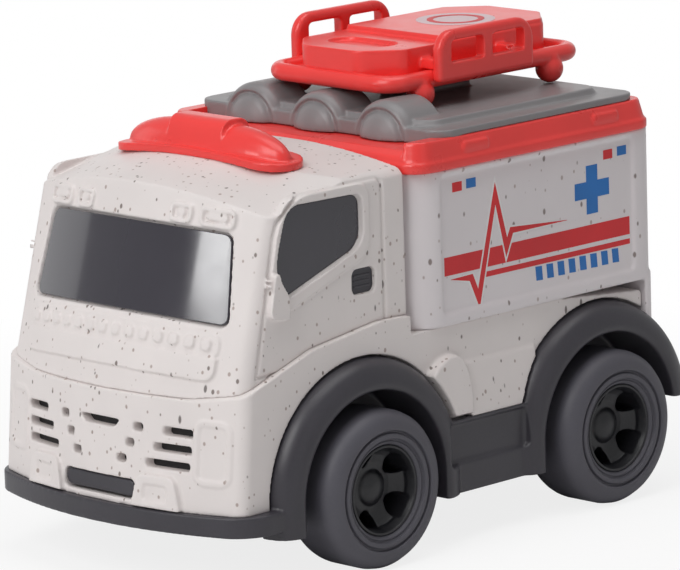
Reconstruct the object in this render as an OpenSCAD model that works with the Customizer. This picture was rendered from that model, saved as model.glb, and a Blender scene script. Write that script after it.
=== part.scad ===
// Toy ambulance with a friction motor, about 146 mm long.
// X points forward, Y to the vehicle's left and Z up. The origin is on the ground, under the middle.
// All sizes are in millimetres.

/* [Overall] */
// Distance between the front and the rear axle
wheelbase = 75; // [72:1:84]
// Front bumper ahead of the front axle
front_overhang = 45.5; // [44:0.5:50]
// Rear bumper behind the rear axle
rear_overhang = 25.5; // [24:0.5:30]
// Width over the tyres
track_w = 90; // [88:1:96]
// Underside of the chassis floor above the ground
ground_clearance = 11; // [10:0.5:12]

/* [Wheels] */
// Tyre radius
wheel_r = 17.5; // [16.5:0.25:19]
// Tyre width
tyre_w = 17; // [15:0.5:18]
// Radius of the wheel's rim
rim_r = 10; // [9:0.25:11]
// Depth from the tyre's outer face to the wheel's spokes
dish_d = 5.5; // [4:0.25:6.5]
// Number of spokes
spokes = 5; // [4:1:7]
// Radius of the steel axles
axle_r = 1.5; // [1.25:0.05:1.75]

/* [Chassis] */
// Thickness of the chassis floor
floor_t = 2.5; // [2:0.25:3]
// Gap between a tyre and its wheel arch
arch_gap = 4; // [3:0.25:5]
// Width of the fender band round a wheel arch
fender_band = 7; // [5:0.25:8]
// Reach of the fenders inside the tyres' outer faces
fender_inset = 3; // [2:0.25:4]
// Depth of the fender band across the vehicle
fender_d = 6; // [5:0.25:7]
// Height of the side skirts
skirt_h = 16.5; // [14:0.5:17]
// Top of the front bumper above the floor's underside
bumper_h = 6.6; // [5:0.2:7]
// Height of the rear bumper bar
rear_bumper_h = 10; // [8:0.5:12]

/* [Body] */
// Width of the lower body
body_w = 75.6; // [74:0.2:76.6]
// Thickness of the moulded walls
wall = 2; // [1.6:0.1:2.4]
// Deck above the top of the fenders
deck_rise = 2.5; // [2:0.25:4]
// Radius of the bow across the front
fascia_bow_r = 100; // [85:1:130]
// Backward lean of the lower front, in degrees
fascia_lean = 5; // [3:0.5:7]
// Height of the grille slots
slot_h = 1.4; // [1:0.1:2]

/* [Cab] */
// Width of the cab
cab_w = 73; // [71:0.5:74]
// Cab's rear wall behind the front axle
cab_back = 15.6; // [14:0.2:18]
// Height of the cab roof above the deck
cab_h = 39.7; // [38:0.5:44]
// Backward lean of the windscreen, in degrees
screen_lean = 15.4; // [12:0.2:18]
// Radius of the bow across the windscreen
screen_bow_r = 105; // [90:1:130]
// Radius of the crown across the cab roof
roof_bow_r = 200; // [160:5:260]
// Downward slope of the forehead, in degrees
forehead_slope = 12; // [8:1:16]
// Height of the windscreen along its slope
screen_h = 18.9; // [16:0.3:20]
// Gap round each window pane
glass_gap = 0.15; // [0.1:0.05:0.3]

/* [Box] */
// Width of the box
box_w = 78; // [76:0.5:82]
// Height of the box's walls
box_h = 34.8; // [32:0.4:40]
// Gap between the cab and the box
box_gap = 1.2; // [1:0.1:2]
// Box's rear wall inside the rear bumper
box_inset = 8; // [7:0.5:10]
// Depth of the side panels
panel_d = 0.7; // [0.4:0.1:1]

/* [Roof] */
// Height of the red rim
rim_h = 6.7; // [6:0.1:8]
// Overhang of the rim's flange
rim_over = 1.1; // [0.6:0.1:1.1]
// Thickness of the roof plate
plate_h = 3; // [2.4:0.1:3.6]
// Radius of the roof lamps
lamp_r = 9; // [7.5:0.25:9.5]
// Spacing of the roof lamps
lamp_pitch = 20.5; // [19.5:0.25:22]
// Length of the cab's light bar, across the vehicle
bar_l = 52; // [46:1:56]
// Depth of the cab's light bar
bar_d = 13.5; // [11:0.5:15]

/* [Stretcher] */
// Length of the stretcher's ring
ring_l = 64; // [58:1:66]
// Width of the stretcher's ring
ring_w = 42; // [38:1:44]
// Radius of the ring's tube
tube_r = 2; // [1.6:0.1:2.4]
// Radius of the ball feet
foot_r = 3.2; // [2.8:0.1:3.6]
// Width of the mattress
bed_w = 32; // [28:0.5:33]
// Thickness of the mattress
bed_h = 6; // [4:0.5:7]
// Height of the side rails above the tray
rail_h = 9; // [8:0.5:11]

/* [Friction motor] */
// Module of the gear teeth
gear_m = 0.5; // [0.45:0.01:0.54]
// Teeth on the large gears
gear_teeth = 30; // [28:2:30]
// Teeth on the pinions
pinion_teeth = 10; // [10:1:10]
// Width of the gear teeth
gear_w = 3; // [2:0.25:3.25]
// Radius of the flywheel
flywheel_r = 9; // [7:0.25:9]
// Width of the flywheel
flywheel_w = 5.5; // [4:0.25:5.5]
// Thickness of the motor case
case_t = 1.3; // [1:0.1:1.5]

/* [Hidden] */
$fn = 96;

// Colours of the mouldings
WHITE = [0.87, 0.85, 0.83];
BOX_WHITE = [0.84, 0.83, 0.84];
RED = [0.86, 0.22, 0.21];
ROOF_GREY = [0.53, 0.51, 0.52];
DARK_GREY = [0.30, 0.29, 0.33];
TYRE_GREY = [0.27, 0.27, 0.30];
HUB_GREY = [0.17, 0.17, 0.19];
GLASS_GREY = [0.30, 0.29, 0.34];
STEEL = [0.70, 0.70, 0.72];
IVORY = [0.90, 0.88, 0.80];

// Clearances
run_gap = 0.06;
seat_gap = 0.3;
press_gap = 0.04;
beyond = 40;
cut = 1;

// Places along the vehicle
length = wheelbase + front_overhang + rear_overhang;
front_x = length / 2;
rear_x = -length / 2;
front_axle_x = front_x - front_overhang;
rear_axle_x = rear_x + rear_overhang;
cab_rear_x = front_axle_x - cab_back;
box_front_x = cab_rear_x - box_gap;
box_rear_x = rear_x + box_inset;

// Places across the vehicle
tyre_out_y = track_w / 2;
tyre_in_y = tyre_out_y - tyre_w;
fender_y = tyre_out_y - fender_inset;
fender_in_y = fender_y - fender_d;
floor_y = tyre_in_y - 1.5;
well_y = tyre_in_y - 0.5;
well_t = 1.5;
body_y = body_w / 2;
cab_y = cab_w / 2;
box_y = box_w / 2;

// Heights
axle_z = wheel_r;
floor_z = ground_clearance;
floor_top = floor_z + floor_t;
arch_r = wheel_r + arch_gap;
fender_r = arch_r + fender_band;
skirt_top = floor_z + skirt_h;
pan_z = floor_z + floor_t - 0.5;
pan_top = floor_z + bumper_h;
deck_z = axle_z + fender_r + deck_rise;
box_top = deck_z + box_h;
rim_top = box_top + rim_h;
plate_top = rim_top + plate_h;
cab_top = deck_z + cab_h;
step_z = deck_z - 7;
sill_z = deck_z + 4.3;

// Lower body
body_rear_x = box_rear_x + wall + 0.4;
fascia_x = front_x - 1.4;
fascia_corner = 2;
body_fall = 9;
body_slope = 4.6;
sill_line = [[cab_rear_x, sill_z], [cab_rear_x + 10, sill_z], [cab_rear_x + 30, deck_z + 1.6],
    [cab_rear_x + 46.6, deck_z - 3.9], [cab_rear_x + 54, step_z + 0.3], [front_x + beyond, step_z]];

// Skirts between the wheel arches
skirt_y = fender_y - 2;
skirt_rear_x = rear_axle_x + arch_r + 1;
skirt_front_x = front_axle_x - arch_r - 1;
skirt_panel_d = 0.8;
bumper_t = 4.5;
skirt_panel_rise = 6.8;
skirt_panel_inset = 8;

// Grille of the lower front: inner and outer edges of the slots at the left of the middle, for each row
grille_top = deck_z - 12.9;
grille_pitch = 3.65;
grille_rows = [[[10.3, 12.7], [18.4, 25.6]], [[8.2, 10.4], [16, 25.3]], [[5.7, 8.2], [14, 25]]];
notch_half = [6.2, 4.2];
tow_half = 11;
tow_z = [pan_top + 1.4, pan_top + 5.6];
tow_corner = 1;
tow_d = 12;
tow_foot = 3;
pod_half = 5.5;
pod_y = 17.5;
pod_z = [pan_top, pan_top + 7.6];
pod_taper = 1.6;

// Side mouldings of the lower body
tank_x = [cab_rear_x - 17.5, cab_rear_x - 2];
tank_rise = 15;
tank_out = 2.6;
locker_x = [skirt_rear_x - 2, cab_rear_x - 17.5];
locker_rise = 12.5;
locker_out = 2;

// Cab front
cab_front_x = fascia_x - (step_z - pan_top) * tan(fascia_lean) - 0.6;
cab_corner = 3;
roof_corner = 2.5;
rear_corner = 3;
side_lap = 0.3;
crease_x = cab_front_x - (cab_h + 3.8) * tan(screen_lean);
crease_z = cab_top - 3.2;
forehead_bow_r = 110;
screen_low = 17.5;
screen_half = [30.3, 28];
screen_corner = 2;
corner_steps = 4;
screen_sink = 0.4;
pane_t = 2;

// Side window and door handle
window_low = deck_z + 15.1;
window_points = [[cab_rear_x + 13.1, deck_z + 32.8], [cab_rear_x + 13.1, deck_z + 21.7],
    [cab_rear_x + 37.2, window_low], [cab_rear_x + 39.5, deck_z + 22.1], [cab_rear_x + 36, deck_z + 32.9]];
window_corner = 2;
window_sink = 0.6;
handle_x = [cab_rear_x + 9.4, cab_rear_x + 16.2];
handle_z = [deck_z + 11, deck_z + 16.5];
handle_corner = 1.5;
handle_points = [[handle_x[0], handle_z[0]], [handle_x[1], handle_z[0]], [handle_x[1], handle_z[1]],
    [handle_x[0], handle_z[1]]];

// Box panels
box_corner = 4;
panel_x = [box_rear_x + 5.5, box_front_x - 8];
panel_z = [deck_z + 2.8, box_top - 1.3];
rear_skirt_h = 10.5;

// Roof
rim_y = box_y + rim_over;
rim_lean = 1.3;
rim_flange_h = 2.2;
rim_lip_h = 3;
rim_lip_t = 1.5;
rim_ledge = 5;
shelf_drop = 1.7;
plate_front_x = box_front_x - 8.6;
plate_rear_x = box_rear_x + 2.5;
plate_y = rim_y - rim_lean - 0.3;
plate_corner = 5;
plateau_h = 1.4;
plateau_inset = 5;
shelf_x = plate_front_x - 8;
shelf_y = plate_y - 4;
shelf_z = rim_top - shelf_drop;
lamp_drop = 2.2;
lamp_z = rim_top - lamp_drop;
lamp_l = 10;
lamp_dome = 1.2;
lamp_face = 0.8;
lamp_rear_x = plate_front_x + lamp_face - lamp_dome - lamp_l;

// Light bar
bar_x = cab_rear_x + 22.6;
bar_flange_h = 1.8;
bar_block_half = 8.5;
bar_dome_r = 6.3;
bar_block_h = 8.2;

// Stretcher
bed_x = (plate_front_x + plate_rear_x) / 2 - 2.8;
ring_corner = 5;
ring_half = [ring_l / 2 - tube_r, ring_w / 2 - tube_r];
ring_bar = ring_half - [ring_corner, ring_corner];
foot_gap = 0.05;
foot_z = plate_top + foot_gap + foot_r;
lamp_room = 0.35;
ring_z = max(foot_z + foot_r - 0.3, lamp_z + lamp_r + lamp_room + tube_r);
foot_lamp_gap = 0.6;
foot_dx = lamp_rear_x - foot_lamp_gap - foot_r - bed_x;
foot_y = ring_half[1];
tray_t = 2;
tray_top = ring_z + tube_r;
bed_l = ring_l - 4;
bed_chamfer = 7.5;
bed_round = 2;
blanket_h = 1.2;
rail_l = 30.5;
rail_t = 2.6;
rail_y = ring_w / 2;
rail_post = 3;
rail_dx = 4;
block_l = 16;
block_w = 14;
pillow_r = [5.5, 4];

// Screws
screw_r = 1.1;
screw_head_r = 2.2;
screw_head_h = 1.2;
screw_sink = screw_head_h + 0.1;
screw_hole_r = screw_r + 0.2;
pilot_r = screw_r + press_gap;
post_r = 3.2;
screw_bite = 6;
body_screws = [[front_axle_x + 30, 14], [front_axle_x + 30, -14], [rear_axle_x - 12.5, 17],
    [rear_axle_x - 12.5, -17]];
cab_screws_at = [[cab_rear_x + 6, 20], [cab_rear_x + 6, -20]];
box_screw_y = body_y - wall - post_r - 1.6;
box_screws_at = [for (x = [box_rear_x + 11, box_front_x - 7]) for (y = [-box_screw_y, box_screw_y]) [x, y]];

// Plastic over the ends of the axles
axle_cover = 1.2;

// Openings between the wheels' spokes
hub_window_r = [4.9, rim_r - 1.5];
hub_window_turn = 130 / spokes;
hub_window_corner = 0.9;

// Front axle bearings
lug_y = [floor_y - 9, floor_y - 3];
lug_half = 8;
clamp_h = 4;
clamp_screw_dx = 5;
motor_screw_dx = 4;

// Friction motor
gear_r = gear_m * gear_teeth / 2;
pinion_r = gear_m * pinion_teeth / 2;
tip = 0.9 * gear_m;
root = 1.2 * gear_m;
shaft_step = gear_r + pinion_r;
shaft_r = 1;
axle_mesh = 35;
wheel_mesh = 10;
cluster_at = [rear_axle_x + shaft_step * cos(axle_mesh), axle_z + shaft_step * sin(axle_mesh)];
flywheel_at = cluster_at + shaft_step * [cos(wheel_mesh), sin(wheel_mesh)];
gear_gap = 0.6;
first_gear_y = 0.5;
second_gear_y = -first_gear_y - gear_gap - gear_w;
flywheel_y = first_gear_y + gear_w + 1;
case_left_y = flywheel_y + flywheel_w + 0.5 + case_t;
case_right_y = second_gear_y - 0.8 - case_t;
flange_w = 6;
flange_h = 6;
flange_l = 14;
flange_x = cluster_at[0] + 3;

// Unit vector along v
function unit(v) = v / norm(v);

// Direction from corner i of an outline to the next or the previous corner
function arm(points, i, side) = unit(points[(i + side + len(points)) % len(points)] - points[i]);

// Half of the angle at corner i of an outline
function half_angle(points, i) = acos(arm(points, i, -1) * arm(points, i, 1)) / 2;

// Direction from corner i into the outline
function inward(points, i) = unit(arm(points, i, -1) + arm(points, i, 1));

// Convex outline moved inwards by a gap
function inset(points, gap) =
    [for (i = [0 : len(points) - 1]) points[i] + inward(points, i) * gap / sin(half_angle(points, i))];

// Corners of a convex outline, each cut into short straight steps about a radius
function soft_outline(points, r) = [
    for (i = [0 : len(points) - 1])
        let (
            centre = points[i] + inward(points, i) * r / sin(half_angle(points, i)),
            first = unit(points[i] + arm(points, i, -1) * r / tan(half_angle(points, i)) - centre),
            last = unit(points[i] + arm(points, i, 1) * r / tan(half_angle(points, i)) - centre)
        )
        for (step = [0 : corner_steps])
            centre + r * unit(first * (corner_steps - step) + last * step)];

// Height of the crowned cab roof at a distance from the middle
function roof_z(y) = cab_top - roof_bow_r + sqrt(roof_bow_r * roof_bow_r - y * y);

// Height of the sill line at a place along the cab
function sill_at(x) = lookup(x, sill_line);

// Convex outline with round corners
module rounded_polygon(points, r) {
    last = len(points) - 1;
    polygon([for (i = [0 : last]) for (side = [-1, 1])
        points[i] + arm(points, i, side) * r / tan(half_angle(points, i))]);
    for (i = [0 : last])
        translate(points[i] + inward(points, i) * r / sin(half_angle(points, i)))
            circle(r);
}

// Rectangle with round corners
module rounded_rect(x, y, r) {
    rounded_polygon([[x[0], y[0]], [x[1], y[0]], [x[1], y[1]], [x[0], y[1]]], r);
}

// Plan of a bowed front with round or sharp corners. The middle of the bow is at the origin.
module bow_plan(bow_r, half_w, corner_r, depth) {
    corner_y = half_w - corner_r;
    corner_x = sqrt(pow(bow_r - corner_r, 2) - pow(corner_y, 2)) - bow_r;
    touch_y = corner_y * bow_r / (bow_r - corner_r);
    intersection() {
        translate([-bow_r, 0])
            circle(bow_r, $fn = 256);
        translate([-depth, -touch_y])
            square([depth, 2 * touch_y]);
    }
    if (corner_r > 0) {
        translate([-depth, -half_w])
            square([depth + corner_x, 2 * half_w]);
        for (side = [-1, 1])
            translate([corner_x, side * corner_y])
                circle(corner_r);
    }
}

// Side outline in X and Z, made a slab across the vehicle
module side_slab(y0, y1) {
    translate([0, y1, 0])
        rotate([90, 0, 0])
            linear_extrude(y1 - y0)
                children();
}

// Front outline in Y and Z, made a slab along the vehicle
module length_slab(x0, x1) {
    translate([x0, 0, 0])
        rotate([90, 0, 90])
            linear_extrude(x1 - x0)
                children();
}

// Rod across the vehicle
module cross_rod(at, y0, y1, r) {
    translate([at[0], y0, at[1]])
        rotate([-90, 0, 0])
            cylinder(h = y1 - y0, r = r);
}

// Child shape on both sides of the vehicle
module both_sides() {
    children();
    mirror([0, 1, 0])
        children();
}

// Child shape leaned backwards about a place on the middle plane
module lean(x, z, angle) {
    translate([x, 0, z])
        rotate([0, -angle, 0])
            children();
}

// Upright screw with its head below
module screw(at, z, bite) {
    translate([at[0], at[1], z - screw_head_h])
        cylinder(h = screw_head_h, r = screw_head_r);
    translate([at[0], at[1], z])
        cylinder(h = bite, r = screw_r);
}

// Fender band with the closed wheel well behind it
module fender(axle_x) {
    module band() {
        translate([arch_r, fender_in_y])
            square([fender_band, fender_d / 2]);
        translate([arch_r, fender_in_y])
            square([fender_band / 2, fender_d]);
        translate([fender_r - fender_band / 2, fender_y - fender_d / 2])
            circle(fender_d / 2);
        translate([fender_r - fender_band / 2, fender_in_y])
            square([fender_band / 2, fender_d / 2]);
    }
    module liner() {
        translate([arch_r, well_y - cut])
            square([wall, fender_in_y - well_y + 2 * cut]);
    }
    translate([axle_x, 0, axle_z])
        rotate([90, 0, 0])
            mirror([0, 0, 1]) {
                rotate_extrude(angle = 180)
                    band();
                rotate_extrude(angle = 180)
                    liner();
            }
    for (turn = [0, 1])
        translate([axle_x, 0, floor_z])
            mirror([turn, 0, 0])
                linear_extrude(axle_z - floor_z) {
                    band();
                    liner();
                }
    side_slab(well_y - well_t, well_y)
        translate([axle_x, axle_z])
            difference() {
                union() {
                    intersection() {
                        circle(arch_r + wall);
                        translate([-2 * arch_r, 0])
                            square([4 * arch_r, 2 * arch_r]);
                    }
                    translate([-arch_r - wall, floor_z - axle_z])
                        square([2 * arch_r + 2 * wall, axle_z - floor_z]);
                }
                circle(axle_r + well_t);
            }
}

// Half of a bearing block for the front axle, with the axle's saddle
module axle_saddle(z0, z1) {
    both_sides()
        difference() {
            translate([front_axle_x - lug_half, lug_y[0], z0])
                cube([2 * lug_half, lug_y[1] - lug_y[0], z1 - z0]);
            cross_rod([front_axle_x, axle_z], lug_y[0] - cut, lug_y[1] + cut, axle_r + run_gap);
        }
}

// Places of the clamp's screws
function clamp_screws_at() =
    [for (dx = [-clamp_screw_dx, clamp_screw_dx]) for (side = [-1, 1])
        [front_axle_x + dx, side * (lug_y[0] + lug_y[1]) / 2]];

// Places of the motor's screws
function motor_screws_at() =
    [for (dx = [-motor_screw_dx, motor_screw_dx])
        for (y = [case_left_y + flange_w / 2, case_right_y - flange_w / 2])
            [flange_x + dx, y]];

// Front bumper pan under the lower front
module front_pan() {
    translate([front_x, 0, pan_z])
        linear_extrude(pan_top - pan_z)
            intersection() {
                bow_plan(fascia_bow_r, fender_y - 1.5, 6, front_overhang);
                translate([front_axle_x + arch_r + 1 - front_x, -track_w])
                    square([front_overhang, 2 * track_w]);
            }
}

// Dark floor of the toy with its fenders, skirts, bumpers and bearing lugs
module chassis() {
    case_room = 0.5;
    case_slot = 3;
    color(DARK_GREY)
    difference() {
        union() {
            translate([rear_x + cut, -floor_y, floor_z])
                cube([length - 9, 2 * floor_y, floor_t]);
            translate([skirt_rear_x, -skirt_y, floor_z])
                cube([skirt_front_x - skirt_rear_x, 2 * skirt_y, floor_t]);
            both_sides()
                translate([skirt_rear_x, skirt_y - wall - skirt_panel_d, floor_z])
                    cube([skirt_front_x - skirt_rear_x, wall + skirt_panel_d, skirt_h]);
            front_pan();
            intersection() {
                both_sides() {
                    fender(front_axle_x);
                    fender(rear_axle_x);
                }
                translate([rear_x, -track_w, 0])
                    cube([length, 2 * track_w, beyond * 2]);
            }
            translate([rear_x, -fender_in_y - 1, skirt_top - rear_bumper_h])
                cube([bumper_t, 2 * fender_in_y + 2, rear_bumper_h]);
            translate([rear_x, -floor_y, floor_z])
                cube([bumper_t, 2 * floor_y, skirt_h]);
            translate([rear_x, -floor_y, skirt_top - floor_t])
                cube([body_rear_x + 2 * wall - rear_x, 2 * floor_y, floor_t]);
            axle_saddle(floor_z, axle_z);
            translate([fascia_x - tow_d, -tow_half + wall, pan_top - cut])
                cube([tow_foot, 2 * tow_half - 2 * wall, tow_z[1] - seat_gap - pan_top + cut]);
            length_slab(fascia_x - tow_d, fascia_x - 1)
                rounded_rect([-tow_half + seat_gap, tow_half - seat_gap],
                    [tow_z[0] + seat_gap, tow_z[1] - seat_gap], tow_corner);
        }
        both_sides()
            side_slab(skirt_y - skirt_panel_d, skirt_y + cut)
                rounded_rect([skirt_rear_x + skirt_panel_inset / 2, skirt_front_x - skirt_panel_inset / 4],
                    [floor_z + skirt_panel_rise, skirt_top - 0.8], 1);
        for (at = body_screws)
            translate([at[0], at[1], floor_z - cut])
                cylinder(h = bumper_h + 2 * cut, r = screw_hole_r);
        for (at = body_screws)
            if (at[0] < 0)
                translate([at[0], at[1], floor_top])
                    cylinder(h = skirt_h, r = post_r + seat_gap);
        for (at = clamp_screws_at())
            translate([at[0], at[1], axle_z - screw_bite])
                cylinder(h = screw_bite + cut, r = pilot_r);
        for (at = motor_screws_at())
            translate([at[0], at[1], floor_z - cut])
                cylinder(h = floor_t + 2 * cut, r = screw_hole_r);
        for (at = concat(body_screws, motor_screws_at()))
            translate([at[0], at[1], floor_z - cut])
                cylinder(h = screw_sink + cut, r = screw_head_r + seat_gap);
        translate([0, case_right_y - case_room, floor_z - cut])
            linear_extrude(floor_t + 2 * cut)
                translate([rear_axle_x - gear_r - case_slot, 0])
                    square([flywheel_at[0] - rear_axle_x + gear_r + flywheel_r + 2 * case_slot,
                        case_left_y - case_right_y + 2 * case_room]);
    }
}

// Side outline of the lower body, moved inwards by a gap
function body_outline(gap) = concat(
    [[body_rear_x + gap, skirt_top - gap * beyond], [body_rear_x + gap, deck_z - body_fall],
        [body_rear_x + body_slope + gap / 2, deck_z - gap], [cab_rear_x + gap, deck_z - gap]],
    [for (p = sill_line) [p[0] + (p[0] == cab_rear_x ? gap : 0), p[1] - gap]],
    gap == 0
        ? [[front_x + beyond, pan_top], [front_axle_x, pan_top], [front_axle_x, skirt_top]]
        : [[front_x + beyond, skirt_top - gap * beyond]]);

// Bowed block of the lower body
module body_block(gap) {
    intersection() {
        lean(fascia_x - gap, pan_top, fascia_lean)
            translate([0, 0, -beyond])
                linear_extrude(4 * beyond)
                    bow_plan(fascia_bow_r - gap, body_y - gap, gap > 0 ? 0 : fascia_corner, 2 * length / 3 + beyond);
        side_slab(-body_y - cut, body_y + cut)
            polygon(body_outline(gap));
    }
}

// Grille slots, middle notch and tow slot of the lower front
module grille_cuts() {
    slot_x = [fascia_x - tow_d - wall, front_x + cut];
    both_sides()
        for (row = [0 : len(grille_rows) - 1])
            for (slot = grille_rows[row])
                length_slab(slot_x[0], slot_x[1])
                    translate([slot[0], grille_top - row * grille_pitch - slot_h])
                        square([slot[1] - slot[0], slot_h]);
    length_slab(slot_x[0], slot_x[1])
        polygon([[-notch_half[0], grille_top], [notch_half[0], grille_top],
            [notch_half[1], grille_top - slot_h], [-notch_half[1], grille_top - slot_h]]);
    length_slab(slot_x[0], slot_x[1])
        rounded_rect([-tow_half, tow_half], tow_z, tow_corner);
}

// Fog lamp pods beside the tow slot
module lamp_pods() {
    intersection() {
        both_sides()
            length_slab(fascia_x - 8, front_x + cut)
                polygon([[pod_y - pod_half - pod_taper, pod_z[0]], [pod_y + pod_half + pod_taper, pod_z[0]],
                    [pod_y + pod_half, pod_z[1]], [pod_y - pod_half, pod_z[1]]]);
        lean(front_x - 0.1, pan_top, fascia_lean)
            translate([0, 0, -beyond])
                linear_extrude(4 * beyond)
                    bow_plan(fascia_bow_r, body_y, fascia_corner, front_overhang);
    }
}

// Cross-section of the tank, with a sloping top
module tank_section() {
    polygon([[body_y - cut, skirt_top], [body_y + tank_out, skirt_top],
        [body_y + tank_out, skirt_top + tank_rise / 2], [body_y, skirt_top + tank_rise],
        [body_y - cut, skirt_top + tank_rise]]);
}

// Rounded tank and sloping locker moulded on each side of the lower body
module side_mouldings() {
    both_sides() {
        length_slab(locker_x[0], locker_x[1] + cut)
            polygon([[body_y - cut, skirt_top], [body_y + locker_out, skirt_top],
                [body_y + locker_out, skirt_top + 2], [body_y, skirt_top + locker_rise],
                [body_y - cut, skirt_top + locker_rise]]);
        intersection() {
            side_slab(body_y - cut, body_y + tank_out)
                intersection() {
                    rounded_rect(tank_x, [skirt_top - 6, skirt_top + tank_rise], 5.5);
                    translate([tank_x[0], skirt_top])
                        square([tank_x[1] - tank_x[0], tank_rise]);
                }
            length_slab(tank_x[0], tank_x[1])
                tank_section();
        }
    }
}

// Posts that hold the screws from the chassis
module body_posts() {
    for (at = body_screws) {
        low = at[0] > 0 ? pan_top : floor_top;
        high = at[0] > 0 ? sill_at(at[0]) : deck_z;
        translate([at[0], at[1], low])
            cylinder(h = high - wall / 2 - low, r = post_r);
    }
}

// White lower body with the front grille and the deck under the box
module lower_body() {
    color(WHITE)
    difference() {
        union() {
            body_block(0);
            lamp_pods();
            side_mouldings();
        }
        difference() {
            body_block(wall);
            body_posts();
        }
        grille_cuts();
        for (axle_x = [front_axle_x, rear_axle_x])
            both_sides() {
                cross_rod([axle_x, axle_z], body_y - wall - 0.8, track_w, fender_r + seat_gap);
                cross_rod([axle_x, axle_z], well_y - well_t - seat_gap, track_w, arch_r + wall + seat_gap);
            }
        for (at = body_screws)
            translate([at[0], at[1], 0])
                cylinder(h = (at[0] > 0 ? pan_top : floor_top) + screw_bite + cut, r = pilot_r);
        for (at = concat(cab_screws_at, box_screws_at))
            translate([at[0], at[1], deck_z - 2 * wall])
                cylinder(h = 6 * wall, r = screw_hole_r);
    }
}

// Bowed and crowned block of the cab, moved inwards by a gap
module cab_block(gap) {
    intersection() {
        lean(cab_front_x - gap, step_z, screen_lean)
            translate([0, 0, -beyond])
                linear_extrude(3 * beyond)
                    bow_plan(screen_bow_r - gap, cab_y - gap, max(cab_corner - gap, 1), 3 * beyond);
        length_slab(cab_rear_x + gap, front_x + beyond)
            translate([0, cab_top - gap])
                rotate(90)
                    bow_plan(roof_bow_r - gap, cab_y + side_lap - gap, roof_corner, cab_h + beyond);
        translate([crease_x, 0, crease_z - gap])
            rotate([0, forehead_slope, 0])
                length_slab(-3 * beyond, beyond)
                    rotate(90)
                        bow_plan(forehead_bow_r, cab_y + 6, 1, 3 * beyond);
    }
}

// Side outline of the cab above the sill line
module cab_outline() {
    far_z = cab_top + 1;
    difference() {
        polygon(concat(sill_line, [[front_x + beyond, far_z], [cab_rear_x, far_z]]));
        translate([cab_rear_x, far_z - rear_corner])
            difference() {
                translate([-cut, 0])
                    square([rear_corner + cut, rear_corner + cut]);
                translate([rear_corner, 0])
                    circle(rear_corner);
            }
    }
}

// Outline of the windscreen across its slope
function screen_outline() =
    [[-screen_half[0], screen_low], [screen_half[0], screen_low],
        [screen_half[1], screen_low + screen_h], [-screen_half[1], screen_low + screen_h]];

// Windscreen prism, square to its slope
module screen_prism(gap) {
    lean(cab_front_x, step_z, screen_lean)
        length_slab(-14, 6)
            polygon(soft_outline(inset(screen_outline(), gap), screen_corner - gap));
}

// Side outlines of the window and of the handle slot
module window_outlines(gap) {
    polygon(soft_outline(inset(window_points, gap), window_corner - gap));
    polygon(soft_outline(inset(handle_points, gap), handle_corner - gap));
}

// White cab shell
module cab_shell() {
    color(WHITE)
    difference() {
        union() {
            difference() {
                intersection() {
                    cab_block(0);
                    side_slab(-cab_y - cut, cab_y + cut)
                        cab_outline();
                }
                cab_block(wall);
            }
            for (at = cab_screws_at)
                translate([at[0], at[1], sill_at(at[0])])
                    cylinder(h = roof_z(at[1]) - wall / 2 - sill_at(at[0]), r = post_r);
        }
        screen_prism(0);
        both_sides()
            side_slab(cab_y - 2 * wall, cab_y + cut)
                window_outlines(0);
        for (at = cab_screws_at)
            translate([at[0], at[1], sill_at(at[0]) - cut])
                cylinder(h = screw_bite + 2 * cut, r = pilot_r);
    }
}

// Dark windscreen set in the cab's front
module windscreen() {
    color(GLASS_GREY)
    intersection() {
        screen_prism(glass_gap);
        lean(cab_front_x - screen_sink, step_z, screen_lean)
            linear_extrude(beyond * 2)
                difference() {
                    bow_plan(screen_bow_r - screen_sink, cab_y, cab_corner, beyond);
                    translate([-pane_t, 0])
                        bow_plan(screen_bow_r - screen_sink - pane_t, cab_y + cut, cab_corner, beyond);
                }
    }
}

// Window pane and handle plug on the left side
module side_window() {
    side_slab(cab_y - window_sink - pane_t, cab_y - window_sink)
        window_outlines(glass_gap);
    side_slab(cab_y - wall - 1.6, cab_y - wall)
        polygon([[handle_x[0] + 2, handle_z[1] - 1], [handle_x[1] - 1, handle_z[1] - 2],
            [window_points[1][0] + 8, window_points[1][1] + 2],
            [window_points[1][0] + 2, window_points[1][1] + 2]]);
}

module left_side_window() {
    color(GLASS_GREY)
        side_window();
}

module right_side_window() {
    color(GLASS_GREY)
        mirror([0, 1, 0])
            side_window();
}

// Red light bar on the cab roof
module light_bar() {
    base = cab_top - 2;
    half_l = bar_l / 2;
    half_d = bar_d / 2;
    dome_bow = 22;
    dome_l = half_l - 1.5 - bar_block_half;
    dome_drop = sqrt(dome_bow * dome_bow - dome_l * dome_l);
    color(RED)
    difference() {
        union() {
            translate([bar_x, 0, base])
                linear_extrude(2 + bar_flange_h) {
                    square([bar_d, bar_l - bar_d], center = true);
                    for (side = [-1, 1])
                        translate([0, side * (half_l - half_d)])
                            circle(half_d);
                }
            translate([bar_x, 0, 0])
                side_slab(-bar_block_half, bar_block_half)
                    rounded_polygon([[-half_d + 0.8, base], [half_d - 0.8, base],
                        [half_d - 3.2, cab_top + bar_block_h],
                        [-half_d + 3.2, cab_top + bar_block_h]], 1.6);
            both_sides()
                translate([bar_x, bar_block_half - cut, cab_top + 0.8])
                    rotate([-90, 0, 0])
                        rotate_extrude()
                            intersection() {
                                translate([-dome_drop, 0])
                                    circle(dome_bow);
                                square([bar_dome_r, dome_l + cut]);
                            }
        }
        length_slab(cab_rear_x, front_x)
            translate([0, cab_top + 0.1])
                rotate(90)
                    bow_plan(roof_bow_r, cab_y + cut, 1, beyond);
    }
}

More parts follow.
